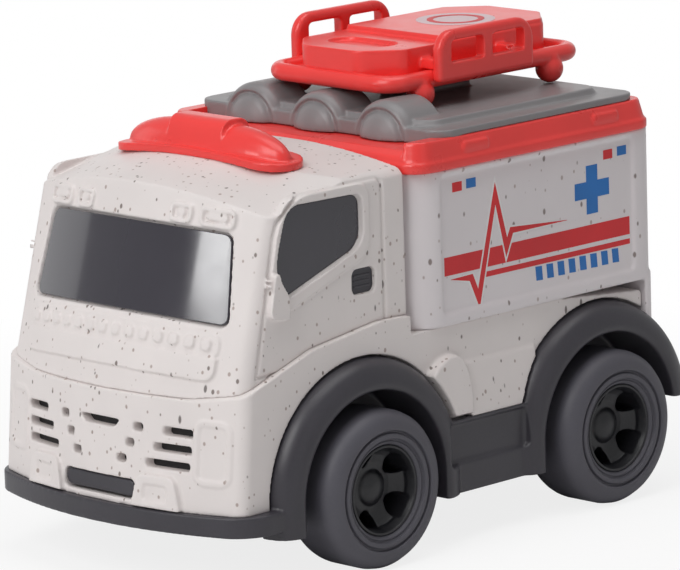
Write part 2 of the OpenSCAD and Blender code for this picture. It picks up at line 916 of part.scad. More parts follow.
// White box with sunk side panels
module box_shell() {
    color(BOX_WHITE)
    difference() {
        union() {
            difference() {
                translate([0, 0, deck_z])
                    linear_extrude(box_h)
                        rounded_rect([box_rear_x, box_front_x], [-box_y, box_y], box_corner);
                translate([0, 0, deck_z - cut])
                    linear_extrude(box_h + 2 * cut)
                        rounded_rect([box_rear_x + wall, box_front_x - wall],
                            [-box_y + wall + panel_d, box_y - wall - panel_d], box_corner - wall);
            }
            translate([box_rear_x, -box_y + box_corner, deck_z - rear_skirt_h])
                cube([wall, box_w - 2 * box_corner, rear_skirt_h + cut]);
            for (at = box_screws_at)
                intersection() {
                    translate([at[0], at[1], deck_z])
                        cylinder(h = box_h - rim_lip_h - 2, r = post_r);
                    translate([box_rear_x, -box_y, deck_z])
                        cube([box_front_x - box_rear_x, box_w, box_h]);
                }
            for (at = box_screws_at)
                translate([at[0] - wall / 2, at[1] > 0 ? at[1] : -box_y + wall, deck_z])
                    cube([wall, box_y - wall - abs(at[1]), box_h - rim_lip_h - 2]);
        }
        both_sides()
            side_slab(box_y - panel_d, box_y + cut)
                rounded_rect(panel_x, panel_z, 1.5);
        for (at = box_screws_at)
            translate([at[0], at[1], deck_z - cut])
                cylinder(h = screw_bite + 2 * cut, r = pilot_r);
    }
}

// Front outline of the rim, with leaning sides
function rim_section() =
    [[-rim_y, box_top], [rim_y, box_top], [rim_y, box_top + rim_flange_h], [rim_y - rim_lean, rim_top],
        [-rim_y + rim_lean, rim_top], [-rim_y, box_top + rim_flange_h]];

// Side outline of the rim, with a sloping front
function rim_side() =
    [[box_rear_x - rim_over, box_top], [box_front_x + 0.7, box_top], [box_front_x + 0.7, shelf_z - 0.6],
        [plate_front_x + seat_gap, shelf_z], [shelf_x, shelf_z], [shelf_x, rim_top],
        [box_rear_x - rim_over + rim_lean, rim_top], [box_rear_x - rim_over, box_top + rim_flange_h]];

// Red rim round the top of the box
module roof_rim() {
    lip_x = [box_rear_x + wall + 0.2, box_front_x - wall - 0.2];
    lip_y = box_y - wall - panel_d - 0.2;
    color(RED)
    difference() {
        union() {
            intersection() {
                translate([0, 0, box_top])
                    linear_extrude(rim_h)
                        rounded_rect([box_rear_x - rim_over, box_front_x + 0.7], [-rim_y, rim_y],
                            box_corner + rim_over);
                length_slab(box_rear_x - beyond, box_front_x + beyond)
                    polygon(rim_section());
                union() {
                    side_slab(-shelf_y - seat_gap, shelf_y + seat_gap)
                        polygon(rim_side());
                    both_sides()
                        side_slab(shelf_y + seat_gap, rim_y + cut)
                            polygon([[box_rear_x - beyond, box_top], [box_front_x + cut, box_top],
                                [box_front_x + cut, shelf_z - 0.6], [plate_front_x, rim_top],
                                [box_rear_x - rim_over + rim_lean, rim_top],
                                [box_rear_x - rim_over, box_top + rim_flange_h],
                                [box_rear_x - beyond, box_top + rim_flange_h]]);
                }
            }
            translate([0, 0, box_top - rim_lip_h])
                linear_extrude(rim_lip_h + cut)
                    rounded_rect(lip_x, [-lip_y, lip_y], 1.5);
        }
        translate([0, 0, box_top - rim_lip_h - cut])
            linear_extrude(rim_h + rim_lip_h + 2 * cut)
                rounded_rect([lip_x[0] + rim_ledge, shelf_x - rim_ledge],
                    [-lip_y + rim_ledge, lip_y - rim_ledge], 1.5);
        translate([0, 0, box_top - rim_lip_h - cut])
            linear_extrude(rim_lip_h + cut)
                rounded_rect([lip_x[0] + rim_lip_t, lip_x[1] - rim_lip_t],
                    [-lip_y + rim_lip_t, lip_y - rim_lip_t], 1.5);
    }
}

// Round roof lamp with a domed face, lying along the vehicle
module roof_lamp(y) {
    dome_bow = (lamp_r * lamp_r + lamp_dome * lamp_dome) / (2 * lamp_dome);
    translate([plate_front_x + lamp_face - lamp_dome, y, lamp_z])
        rotate([0, 90, 0])
            rotate_extrude() {
                translate([0, -lamp_l])
                    square([lamp_r - 0.6, lamp_l]);
                translate([0, -lamp_l])
                    square([lamp_r, lamp_l - 1.8]);
                intersection() {
                    translate([0, lamp_dome - dome_bow])
                        circle(dome_bow);
                    square([lamp_r - 0.6, lamp_dome]);
                }
                translate([0, -1.2])
                    square([lamp_r, 1]);
            }
}

// Grey roof plate with its lamps and the stretcher's seat
module roof_plate() {
    lip_gap = 0.2;
    lip_y = box_y - wall - panel_d - rim_ledge - 2 * lip_gap;
    lip_x = [box_rear_x + wall + rim_ledge + 2 * lip_gap, shelf_x - rim_ledge - lip_gap];
    color(ROOF_GREY) {
        translate([0, 0, rim_top])
            linear_extrude(plate_h - plateau_h)
                rounded_rect([plate_rear_x, plate_front_x], [-plate_y, plate_y], plate_corner);
        translate([0, 0, rim_top])
            linear_extrude(plate_h)
                rounded_rect([plate_rear_x + plateau_inset, plate_front_x - 2],
                    [-plate_y + plateau_inset, plate_y - plateau_inset], plate_corner);
        translate([shelf_x + seat_gap, -shelf_y, shelf_z])
            cube([plate_front_x - shelf_x - seat_gap, 2 * shelf_y, rim_top - shelf_z + cut]);
        intersection() {
            for (i = [-1, 0, 1])
                roof_lamp(i * lamp_pitch);
            union() {
                translate([shelf_x + seat_gap, -box_y, shelf_z])
                    cube([beyond, box_w, beyond]);
                translate([shelf_x - beyond, -box_y, rim_top])
                    cube([2 * beyond, box_w, beyond]);
            }
        }
        translate([0, 0, rim_top - rim_lip_h])
            linear_extrude(rim_lip_h + cut)
                difference() {
                    rounded_rect(lip_x, [-lip_y, lip_y], 1.3);
                    rounded_rect([lip_x[0] + rim_lip_t, lip_x[1] - rim_lip_t],
                        [-lip_y + rim_lip_t, lip_y - rim_lip_t], 1);
                }
        translate([bed_x - block_l / 2, -block_w / 2, rim_top])
            cube([block_l, block_w, ring_z - seat_gap - rim_top]);
    }
}

// Upper halves of the front axle's bearings
module front_axle_clamp() {
    color(DARK_GREY)
    difference() {
        union() {
            axle_saddle(axle_z, axle_z + clamp_h);
            translate([front_axle_x - lug_half, -lug_y[1], axle_z + axle_r + 0.6])
                cube([2 * lug_half, 2 * lug_y[1], clamp_h - axle_r - 0.6]);
        }
        for (at = clamp_screws_at())
            translate([at[0], at[1], axle_z - cut])
                cylinder(h = clamp_h + 2 * cut, r = screw_hole_r);
        cross_rod([front_axle_x, axle_z], -track_w, track_w, axle_r + run_gap);
    }
}

// Outline of the motor case round its gears, moved inwards by a gap
module case_outline(gap) {
    gear_room = gear_r + tip + gear_gap + case_t - gap;
    wheel_room = flywheel_r + gear_gap + case_t - gap;
    translate([rear_axle_x, axle_z])
        circle(gear_room);
    translate(cluster_at)
        circle(gear_room);
    translate(flywheel_at)
        circle(wheel_room);
}

// Half of the motor case with its shaft bores, between two planes
module motor_case(y0, y1) {
    low = min(y0, y1);
    high = max(y0, y1);
    flange_y = y1 > 0 ? y1 - cut : y1 - flange_w;
    color(IVORY)
    difference() {
        union() {
            side_slab(low, high)
                case_outline(0);
            translate([flange_x - flange_l / 2, flange_y, floor_top])
                cube([flange_l, flange_w + cut, flange_h]);
        }
        side_slab(y1 > 0 ? low - cut : low + case_t, y1 > 0 ? high - case_t : high + cut)
            case_outline(case_t);
        cross_rod([rear_axle_x, axle_z], low - cut, high + cut, axle_r + run_gap);
        cross_rod(cluster_at, low - cut, high + cut, shaft_r + run_gap);
        cross_rod(flywheel_at, low - cut, high + cut, shaft_r + run_gap);
        for (at = motor_screws_at())
            translate([at[0], at[1], floor_top - cut])
                cylinder(h = flange_h, r = pilot_r);
    }
}

module motor_case_left() {
    motor_case(0, case_left_y);
}

module motor_case_right() {
    motor_case(0, case_right_y);
}

// Screws that hold the lower body to the chassis
module chassis_screws() {
    color(STEEL)
        for (at = body_screws)
            screw(at, floor_z + screw_sink,
                (at[0] > 0 ? pan_top : floor_top) - floor_z - screw_sink + screw_bite);
}

// Screws that hold the front axle's clamp, with their heads on top
module clamp_screws() {
    color(STEEL)
        for (at = clamp_screws_at())
            translate([0, 0, 2 * (axle_z + clamp_h)])
                mirror([0, 0, 1])
                    screw(at, axle_z + clamp_h, clamp_h + screw_bite - 1);
}

// Screws that hold the motor case to the floor
module motor_screws() {
    color(STEEL)
        for (at = motor_screws_at())
            screw(at, floor_z + screw_sink, floor_t - screw_sink + flange_h - 1.5);
}

// Screws that hold the cab to the lower body
module cab_screws() {
    color(STEEL)
        for (at = cab_screws_at)
            screw(at, sill_at(at[0]) - wall, wall + screw_bite);
}

// Screws that hold the box to the deck
module box_screws() {
    color(STEEL)
        for (at = box_screws_at)
            screw(at, deck_z - wall, wall + screw_bite);
}

// Steel axle through both wheels
module wheel_axle(axle_x) {
    half = tyre_out_y - dish_d - axle_cover;
    color(STEEL)
        cross_rod([axle_x, axle_z], -half, half, axle_r);
}

// Wheel part placed at one end of an axle. Its profile runs from the tyre's inner face outwards.
module at_wheel(axle_x, side) {
    mirror([0, side > 0 ? 0 : 1, 0])
        translate([axle_x, tyre_in_y, axle_z])
            rotate([-90, 0, 0])
                children();
}

// Soft tyre with round shoulders and a ring groove
module tyre(axle_x, side) {
    shoulder = 4;
    groove_r = rim_r + 1.5;
    groove_w = 0.7;
    groove_d = 0.6;
    color(TYRE_GREY)
        at_wheel(axle_x, side)
            rotate_extrude()
                difference() {
                    intersection() {
                        union() {
                            translate([rim_r, 0])
                                square([wheel_r - shoulder - rim_r, tyre_w]);
                            translate([rim_r, shoulder])
                                square([wheel_r - rim_r, tyre_w - 2 * shoulder]);
                            for (y = [shoulder, tyre_w - shoulder])
                                translate([wheel_r - shoulder, y])
                                    circle(shoulder);
                        }
                        translate([rim_r, 0])
                            square([wheel_r - rim_r, tyre_w]);
                    }
                    translate([groove_r, tyre_w - groove_d])
                        square([groove_w, groove_d + cut]);
                }
}

// Outline of one opening between two spokes
function hub_window() =
    [[hub_window_r[0], 0], hub_window_r[1] * [cos(hub_window_turn), -sin(hub_window_turn)],
        hub_window_r[1] * [cos(hub_window_turn), sin(hub_window_turn)]];

// Wheel hub with a barrel, a spoked disc and a domed cap
module hub(axle_x, side) {
    barrel_r = rim_r - press_gap;
    barrel_t = 1.3;
    face = tyre_w - dish_d;
    disc_t = 2.4;
    boss_r = 3.4;
    cap_r = 3.9;
    cap_h = 1.6;
    cap_sink = 0.5;
    cap_bow = (cap_r * cap_r + cap_h * cap_h) / (2 * cap_h);
    color(HUB_GREY)
        at_wheel(axle_x, side)
            difference() {
                union() {
                    difference() {
                        translate([0, 0, 1])
                            cylinder(h = tyre_w - 2, r = barrel_r);
                        cylinder(h = 3 * tyre_w, r = barrel_r - barrel_t, center = true);
                    }
                    translate([0, 0, 0.5])
                        cylinder(h = face - disc_t, r = boss_r);
                    translate([0, 0, face - disc_t])
                        cylinder(h = disc_t, r = barrel_r - barrel_t / 2);
                    rotate_extrude()
                        intersection() {
                            translate([0, face + cap_h - cap_bow])
                                circle(cap_bow);
                            translate([0, face - cap_sink])
                                square([cap_bow, cap_h + cap_sink]);
                        }
                }
                for (i = [0 : spokes - 1])
                    rotate((i + 0.5) * 360 / spokes - 90)
                        translate([0, 0, face - disc_t - cut])
                            linear_extrude(disc_t + 2 * cut)
                                polygon(soft_outline(hub_window(), hub_window_corner));
                translate([0, 0, -cut])
                    cylinder(h = face - axle_cover + cut + press_gap, r = axle_r + press_gap);
            }
}

module front_axle() {
    wheel_axle(front_axle_x);
}

module rear_axle() {
    wheel_axle(rear_axle_x);
}

module front_left_tyre() {
    tyre(front_axle_x, 1);
}

module front_right_tyre() {
    tyre(front_axle_x, -1);
}

module rear_left_tyre() {
    tyre(rear_axle_x, 1);
}

module rear_right_tyre() {
    tyre(rear_axle_x, -1);
}

module front_left_hub() {
    hub(front_axle_x, 1);
}

module front_right_hub() {
    hub(front_axle_x, -1);
}

module rear_left_hub() {
    hub(rear_axle_x, 1);
}

module rear_right_hub() {
    hub(rear_axle_x, -1);
}

// Flat gear outline with straight-flanked teeth. One tooth points along the phase angle.
module gear_outline(teeth, phase) {
    pitch = 360 / teeth;
    pitch_r = gear_m * teeth / 2;
    flank = [[pitch_r - root, 0.34], [pitch_r, 0.22], [pitch_r + tip, 0.1]];
    polygon([for (i = [0 : teeth - 1])
        for (p = [flank[0] - [0, 2 * flank[0][1]], flank[1] - [0, 2 * flank[1][1]],
                flank[2] - [0, 2 * flank[2][1]],
                flank[2], flank[1], flank[0]])
            p[0] * [cos(phase + (i + p[1]) * pitch), sin(phase + (i + p[1]) * pitch)]]);
}

// Gear on a shaft's place, with its teeth from y0 on
module spur_gear(at, y0, teeth, phase) {
    side_slab(y0, y0 + gear_w)
        translate(at)
            gear_outline(teeth, phase);
}

// Gear pressed on the rear axle
module axle_gear() {
    boss_r = 3;
    color(IVORY)
    difference() {
        union() {
            spur_gear([rear_axle_x, axle_z], first_gear_y, gear_teeth, axle_mesh);
            cross_rod([rear_axle_x, axle_z], first_gear_y, flywheel_y + flywheel_w - 0.5, boss_r);
        }
        cross_rod([rear_axle_x, axle_z], -track_w, track_w, axle_r + press_gap);
    }
}

// Idler with a pinion, a large gear and its own shaft
module cluster_gear() {
    end_gap = 0.2;
    color(IVORY) {
        spur_gear(cluster_at, first_gear_y, pinion_teeth, axle_mesh + 180 + 180 / pinion_teeth);
        spur_gear(cluster_at, second_gear_y, gear_teeth, wheel_mesh);
        cross_rod(cluster_at, case_right_y + end_gap, case_left_y - end_gap, shaft_r);
        cross_rod(cluster_at, second_gear_y + gear_w - 0.1, first_gear_y + 0.1, pinion_r - root);
    }
}

// Steel flywheel
module flywheel() {
    color(STEEL)
    difference() {
        cross_rod(flywheel_at, flywheel_y, flywheel_y + flywheel_w, flywheel_r);
        cross_rod(flywheel_at, -track_w, track_w, shaft_r + press_gap);
    }
}

// Pinion and shaft of the flywheel
module flywheel_pinion() {
    end_gap = 0.2;
    color(IVORY) {
        spur_gear(flywheel_at, second_gear_y, pinion_teeth, wheel_mesh + 180 + 180 / pinion_teeth);
        cross_rod(flywheel_at, case_right_y + end_gap, case_left_y - end_gap, shaft_r);
    }
}

// Red ring of the stretcher with its tray and ball feet
module stretcher_frame() {
    color(RED)
    translate([bed_x, 0, 0]) {
        for (side = [-1, 1]) {
            translate([-ring_bar[0], side * ring_half[1], ring_z])
                rotate([0, 90, 0])
                    cylinder(h = 2 * ring_bar[0], r = tube_r);
            translate([side * ring_half[0], -ring_bar[1], ring_z])
                rotate([-90, 0, 0])
                    cylinder(h = 2 * ring_bar[1], r = tube_r);
            for (end = [-1, 1]) {
                translate([end * ring_bar[0], side * ring_bar[1], ring_z])
                    rotate(end > 0 ? (side > 0 ? 0 : -90) : (side > 0 ? 90 : 180))
                        rotate_extrude(angle = 90)
                            translate([ring_corner, 0])
                                circle(tube_r);
                translate([end * foot_dx, side * foot_y, foot_z]) {
                    sphere(foot_r);
                    cylinder(h = ring_z - foot_z, r = tube_r / 2);
                }
            }
        }
        translate([0, 0, tray_top - tray_t])
            linear_extrude(tray_t)
                rounded_rect([-ring_half[0], ring_half[0]], [-ring_half[1], ring_half[1]], ring_corner);
    }
}

// Plan of the mattress with cut corners
module bed_plan(gap) {
    half_l = bed_l / 2 - gap;
    half_w = bed_w / 2 - gap;
    c = bed_chamfer;
    rounded_polygon([[-half_l, -half_w + c], [-half_l + c, -half_w],
        [half_l - c, -half_w], [half_l, -half_w + c],
        [half_l, half_w - c], [half_l - c, half_w], [-half_l + c, half_w], [-half_l, half_w - c]], bed_round);
}

// Side rail with two windows
module bed_rail() {
    windows = 2;
    window_l = (rail_l - (windows + 1) * rail_post) / windows;
    side_slab(rail_y, rail_y + rail_t)
        difference() {
            rounded_rect([rail_dx - rail_l / 2, rail_dx + rail_l / 2],
                [tray_top + 0.5, tray_top + rail_h], 1.5);
            for (i = [0 : windows - 1])
                translate([rail_dx - rail_l / 2 + rail_post + i * (window_l + rail_post), tray_top + 3])
                    square([window_l, rail_h - 5]);
        }
    for (x = [rail_dx - rail_l / 2 + rail_post, rail_dx + rail_l / 2 - rail_post])
        translate([x - rail_post / 2, bed_w / 2 - cut, tray_top + 0.5])
            cube([rail_post, rail_y - bed_w / 2 + cut + 0.5, 2]);
}

// Red mattress with its blanket, pillow hollow and rails
module stretcher_bed() {
    color(RED)
    translate([bed_x, 0, 0])
    difference() {
        union() {
            translate([0, 0, tray_top])
                linear_extrude(bed_h - blanket_h)
                    bed_plan(0);
            intersection() {
                translate([0, 0, tray_top])
                    linear_extrude(bed_h)
                        bed_plan(0.8);
                translate([-bed_l, -bed_w, 0])
                    cube([bed_l + bed_l / 6, 2 * bed_w, 2 * plate_top]);
            }
            both_sides()
                bed_rail();
        }
        translate([bed_l / 2 - bed_chamfer - pillow_r[0] / 2, 0, tray_top + bed_h - blanket_h - 0.8])
            linear_extrude(bed_h) {
                square([2 * pillow_r[1], 2 * pillow_r[0]], center = true);
                for (side = [-1, 1])
                    translate([0, side * pillow_r[0]])
                        circle(pillow_r[1]);
            }
    }
}

chassis();
lower_body();
cab_shell();
windscreen();
left_side_window();
right_side_window();
light_bar();
box_shell();
roof_rim();
roof_plate();
front_axle_clamp();
motor_case_left();
motor_case_right();
chassis_screws();
clamp_screws();
motor_screws();
cab_screws();
box_screws();
front_axle();
front_left_tyre();
front_right_tyre();
front_left_hub();
front_right_hub();
rear_axle();
rear_left_tyre();
rear_right_tyre();
rear_left_hub();
rear_right_hub();
axle_gear();
cluster_gear();
flywheel();
flywheel_pinion();
stretcher_frame();
stretcher_bed();
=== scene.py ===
"""Looks of the toy ambulance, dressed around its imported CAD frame.

Sizes in the classes are millimetres in the frame's axes: +X forward, +Y to the vehicle's left, +Z up.
"""

import logging
import math
from abc import ABC, abstractmethod
from collections.abc import Callable, Sequence
from dataclasses import dataclass
from enum import Enum

import bmesh
import bpy
from mathutils import Matrix, Vector


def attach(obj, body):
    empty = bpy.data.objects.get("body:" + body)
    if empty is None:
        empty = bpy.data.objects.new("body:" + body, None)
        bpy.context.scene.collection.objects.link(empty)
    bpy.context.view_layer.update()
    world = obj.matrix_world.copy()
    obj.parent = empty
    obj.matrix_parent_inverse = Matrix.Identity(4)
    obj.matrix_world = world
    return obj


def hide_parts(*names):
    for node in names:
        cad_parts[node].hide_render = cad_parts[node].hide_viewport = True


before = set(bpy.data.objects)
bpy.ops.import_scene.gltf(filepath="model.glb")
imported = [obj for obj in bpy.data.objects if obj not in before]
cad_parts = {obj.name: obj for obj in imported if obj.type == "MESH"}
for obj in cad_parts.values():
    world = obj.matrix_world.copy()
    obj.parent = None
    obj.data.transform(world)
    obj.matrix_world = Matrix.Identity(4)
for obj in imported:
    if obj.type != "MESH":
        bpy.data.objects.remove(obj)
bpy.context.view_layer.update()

MM = 0.001
LOG = logging.getLogger("toy_ambulance")
STRAIGHT = (1.0, 1.0)

Mesh = bmesh.types.BMesh
Socket = bpy.types.NodeSocket
Span = tuple[float, float]
Point = tuple[float, float, float]
Colour = tuple[float, float, float]
Outline = Sequence[Span]
Rounding = float | Sequence[float]


class Axis(Enum):
    """Direction along which a flat outline is extruded, with the axes in which it is drawn."""

    ACROSS = Matrix(((1, 0, 0, 0), (0, 0, 1, 0), (0, 1, 0, 0), (0, 0, 0, 1)))
    ALONG = Matrix(((0, 0, 1, 0), (1, 0, 0, 0), (0, 1, 0, 0), (0, 0, 0, 1)))
    UP = Matrix.Identity(4)


class Cut(Enum):
    """Ways in which one solid changes another."""

    REMOVE = "DIFFERENCE"
    KEEP = "INTERSECT"


class Side(Enum):
    """Sides of the vehicle."""

    LEFT = "left"
    RIGHT = "right"


class Body(Enum):
    """Bodies of the frame that the pieces ride on."""

    TOY = "body"
    FRONT_AXLE = "front_axle_set"
    REAR_AXLE = "rear_axle_set"
    STRETCHER = "stretcher"


def rectangle(u: Span, v: Span) -> Outline:
    """Gives the corners of a rectangle.

    Args:
        u: Lowest and highest place on the outline's first axis.
        v: Lowest and highest place on its second axis.

    Returns:
        The four corners in turn.
    """
    return (u[0], v[0]), (u[1], v[0]), (u[1], v[1]), (u[0], v[1])


def flat_face(outline: Outline, corner: Rounding, steps: int) -> Mesh:
    """Makes a flat face with rounded corners.

    Args:
        outline: Corners in turn.
        corner: Rounding of all corners, or of each.
        steps: Segments of each rounded corner.

    Returns:
        A mesh with one face in the XY plane.
    """
    mesh = bmesh.new()
    corners = [mesh.verts.new((u, v, 0.0)) for u, v in outline]
    mesh.faces.new(corners)
    sizes = corner if isinstance(corner, Sequence) else [corner] * len(corners)
    for vert, size in zip(corners, sizes):
        if size > 0:
            bmesh.ops.bevel(mesh, geom=[vert], offset=size, offset_type="OFFSET", segments=steps,
                            profile=0.5, affect="VERTICES", material=-1, clamp_overlap=True)
    return mesh


def raise_face(mesh: Mesh, low: float, high: float, axis: Axis, flare: Span) -> Mesh:
    """Extrudes flat faces to a closed solid and stands it on its axis.

    Args:
        mesh: Flat faces in the XY plane.
        low: Start of the solid on the axis.
        high: End of the solid on the axis.
        axis: Direction of the extrusion.
        flare: Scale of the far end in the outline's two axes.

    Returns:
        The same mesh, now closed.
    """
    middle = sum((v.co for v in mesh.verts), Vector()) / len(mesh.verts)
    grown = bmesh.ops.extrude_face_region(mesh, geom=mesh.faces[:], use_keep_orig=True)
    far = [g for g in grown["geom"] if isinstance(g, bmesh.types.BMVert)]
    bmesh.ops.scale(mesh, vec=(flare[0], flare[1], 1), verts=far, space=Matrix.Translation(-middle))
    bmesh.ops.translate(mesh, vec=(0, 0, high - low), verts=far)
    bmesh.ops.translate(mesh, vec=(0, 0, low), verts=mesh.verts)
    bmesh.ops.transform(mesh, matrix=axis.value, verts=mesh.verts)
    bmesh.ops.recalc_face_normals(mesh, faces=mesh.faces)
    return mesh


def prism(outline: Outline, low: float, high: float, axis: Axis, corner: Rounding = 0.0,
          steps: int = 5, flare: Span = STRAIGHT) -> Mesh:
    """Extrudes an outline with rounded corners.

    Args:
        outline: Corners in turn.
        low: Start on the axis.
        high: End on the axis.
        axis: Direction of the extrusion.
        corner: Rounding of all corners, or of each.
        steps: Segments of each rounded corner.
        flare: Scale of the far end in the outline's two axes.

    Returns:
        A closed mesh.
    """
    return raise_face(flat_face(outline, corner, steps), low, high, axis, flare)


def ease_rims(mesh: Mesh, width: float) -> Mesh:
    """Rounds the sharp rims of an extruded mesh.

    Args:
        mesh: Mesh to change.
        width: Size of the rounding.

    Returns:
        The same mesh.
    """
    sharp = [e for e in mesh.edges if e.calc_face_angle(0.0) > math.radians(60)]
    bmesh.ops.bevel(mesh, geom=sharp, offset=width, offset_type="OFFSET", segments=3, profile=0.5,
                    affect="EDGES", material=-1, clamp_overlap=True)
    return mesh


def frame_band(outline: Outline, width: float, low: float, high: float, axis: Axis,
               corner: Rounding) -> Mesh:
    """Extrudes a narrow band that follows an outline on its inside.

    Args:
        outline: Corners in turn.
        width: Width of the band.
        low: Start on the axis.
        high: End on the axis.
        axis: Direction of the extrusion.
        corner: Rounding of all corners, or of each.

    Returns:
        A closed mesh.
    """
    mesh = flat_face(outline, corner, 5)
    inner = mesh.faces[:]
    bmesh.ops.inset_region(mesh, faces=inner, thickness=width, use_even_offset=True, use_boundary=True)
    bmesh.ops.delete(mesh, geom=inner, context="FACES_ONLY")
    return raise_face(mesh, low, high, axis, STRAIGHT)


def rod(x: float, z: float, low: float, high: float, radius: float, steps: int = 72) -> Mesh:
    """Makes a round rod across the vehicle.

    Args:
        x: Place of its axis along the vehicle.
        z: Height of its axis.
        low: Start across the vehicle.
        high: End across the vehicle.
        radius: Radius of the rod.
        steps: Segments round it.

    Returns:
        A closed mesh.
    """
    mesh = bmesh.new()
    place = Matrix.Translation((x, (low + high) / 2, z)) @ Matrix.Rotation(math.pi / 2, 4, "X")
    bmesh.ops.create_cone(mesh, cap_ends=True, segments=steps, radius1=radius, radius2=radius,
                          depth=high - low, matrix=place)
    return mesh


def ellipsoid(centre: Point, radii: Point) -> Mesh:
    """Makes a stretched ball.

    Args:
        centre: Its middle.
        radii: Its half sizes.

    Returns:
        A closed mesh.
    """
    mesh = bmesh.new()
    place = Matrix.Translation(centre) @ Matrix.Diagonal((*radii, 1))
    bmesh.ops.create_uvsphere(mesh, u_segments=48, v_segments=24, radius=1, matrix=place)
    return mesh


def turned(profile: Outline, corner: Rounding, centre: Vector, axis: Vector, steps: int,
           angle: float = math.tau) -> Mesh:
    """Spins a closed profile about an axis.

    Args:
        profile: Corners as distances from the axis and places along it.
        corner: Rounding of all corners, or of each.
        centre: A point on the axis.
        axis: Direction of the axis, along X or Y.
        steps: Segments of the turn.
        angle: Angle of the turn.

    Returns:
        A closed mesh, open at both ends where the turn isn't a full one.
    """
    mesh = flat_face(profile, corner, 4)
    along_x = abs(axis.x) > 0
    turn = Matrix(((0, 1, 0, 0), (0, 0, 1, 0), (1, 0, 0, 0), (0, 0, 0, 1))) if along_x else Matrix.Identity(4)
    bmesh.ops.transform(mesh, matrix=Matrix.Translation(centre) @ turn, verts=mesh.verts)
    bmesh.ops.delete(mesh, geom=mesh.faces[:], context="FACES_ONLY")
    full = angle >= math.tau
    bmesh.ops.spin(mesh, geom=mesh.verts[:] + mesh.edges[:], cent=centre, axis=axis, angle=angle, steps=steps,
                   use_merge=full)
    bmesh.ops.remove_doubles(mesh, verts=mesh.verts, dist=1e-5)
    bmesh.ops.recalc_face_normals(mesh, faces=mesh.faces)
    return mesh


def slice_across(mesh: Mesh, step: float) -> None:
    """Cuts a mesh at even places across the vehicle, so that it can bend.

    Args:
        mesh: Mesh to cut.
        step: Distance between the cuts.
    """
    low = min(v.co.y for v in mesh.verts)
    high = max(v.co.y for v in mesh.verts)
    count = int((high - low) // step)
    for i in range(1, count + 1):
        bmesh.ops.bisect_plane(mesh, geom=mesh.verts[:] + mesh.edges[:] + mesh.faces[:], dist=1e-5,
                               plane_co=(0, low + i * (high - low) / (count + 1), 0), plane_no=(0, 1, 0))


@dataclass(frozen=True)
class Bow:
    """A surface that is bowed across the vehicle and leans backwards.

    Attributes:
        apex_x: Place along the vehicle of its middle, at the foot.
        base_z: Height of the foot.
        lean: Backward lean in degrees. 0 is an upright front and 90 a level roof.
        bow_r: Radius of the bow.
    """

    apex_x: float
    base_z: float
    lean: float
    bow_r: float

    def sag(self, y: float) -> float:
        """Gives how far the surface falls back at a distance from the middle.

        Args:
            y: Distance from the middle plane.

        Returns:
            The fall in millimetres.
        """
        return self.bow_r - math.sqrt(self.bow_r ** 2 - min(abs(y), 0.95 * self.bow_r) ** 2)

    def wrap(self, mesh: Mesh, step: float = 2.5) -> Mesh:
        """Bends a mesh drawn as (out, across, height) on to the surface.

        Args:
            mesh: Mesh to bend.
            step: Distance between the cuts that let it bend.

        Returns:
            The same mesh.
        """
        slice_across(mesh, step)
        for vert in mesh.verts:
            vert.co.x -= self.sag(vert.co.y)
        lean = Matrix.Rotation(math.radians(-self.lean), 4, "Y")
        foot = Matrix.Translation((self.apex_x, 0, self.base_z))
        bmesh.ops.transform(mesh, matrix=foot @ lean, verts=mesh.verts)
        return mesh

    def patch(self, outline: Outline, low: float, high: float, corner: Rounding = 0.0,
              flare: Span = STRAIGHT) -> Mesh:
        """Raises an outline drawn as (across, height) from the surface.

        Args:
            outline: Corners in turn.
            low: Its start from the surface, outwards.
            high: Its end from the surface.
            corner: Rounding of all corners, or of each.
            flare: Scale of the outer end in the outline's two axes.

        Returns:
            A closed mesh.
        """
        return self.wrap(prism(outline, low, high, Axis.ALONG, corner, flare=flare))

    def slab(self, half_w: float, depth: float, low: float, high: float, corner: float) -> Mesh:
        """Makes a block whose front is the surface.

        Args:
            half_w: Half of its width.
            depth: Its depth behind the surface.
            low: Its foot, along the slope.
            high: Its top, along the slope.
            corner: Rounding of its two front corners.

        Returns:
            A closed mesh.
        """
        return self.wrap(prism(rectangle((-depth, 0), (-half_w, half_w)), low, high, Axis.UP,
                               (0, corner, corner, 0), steps=8), step=2.0)


def on_side(make: Callable[[], Mesh], side: Side) -> Mesh:
    """Makes a shape on one side of the vehicle.

    Args:
        make: Function that makes the left one.
        side: Side on which it stands.

    Returns:
        The mesh, mirrored on the right side.
    """
    mesh = make()
    if side is Side.RIGHT:
        bmesh.ops.scale(mesh, vec=(1, -1, 1), verts=mesh.verts)
        bmesh.ops.reverse_faces(mesh, faces=mesh.faces)
    return mesh


def both_sides(make: Callable[[], Mesh]) -> list[Mesh]:
    """Makes a shape on the left side and its mirror image on the right.

    Args:
        make: Function that makes the left one.

    Returns:
        Both meshes.
    """
    return [on_side(make, side) for side in Side]


def side_prisms(outline: Outline, low: float, high: float, corner: Rounding = 0.0, steps: int = 5,
                flare: Span = STRAIGHT) -> list[Mesh]:
    """Extrudes an outline outwards on both sides of the vehicle.

    Args:
        outline: Corners in turn, in X and Z.
        low: Start from the middle plane.
        high: End from the middle plane.
        corner: Rounding of all corners, or of each.
        steps: Segments of each rounded corner.
        flare: Scale of the far end in the outline's two axes.

    Returns:
        Both meshes.
    """
    return both_sides(lambda: prism(outline, low, high, Axis.ACROSS, corner, steps, flare))


def open_edges(mesh: Mesh) -> list[bmesh.types.BMEdge]:
    """Finds the edges at a mesh's open ends.

    Args:
        mesh: Mesh to look at.

    Returns:
        Edges of one face each.
    """
    return [e for e in mesh.edges if len(e.link_faces) == 1]


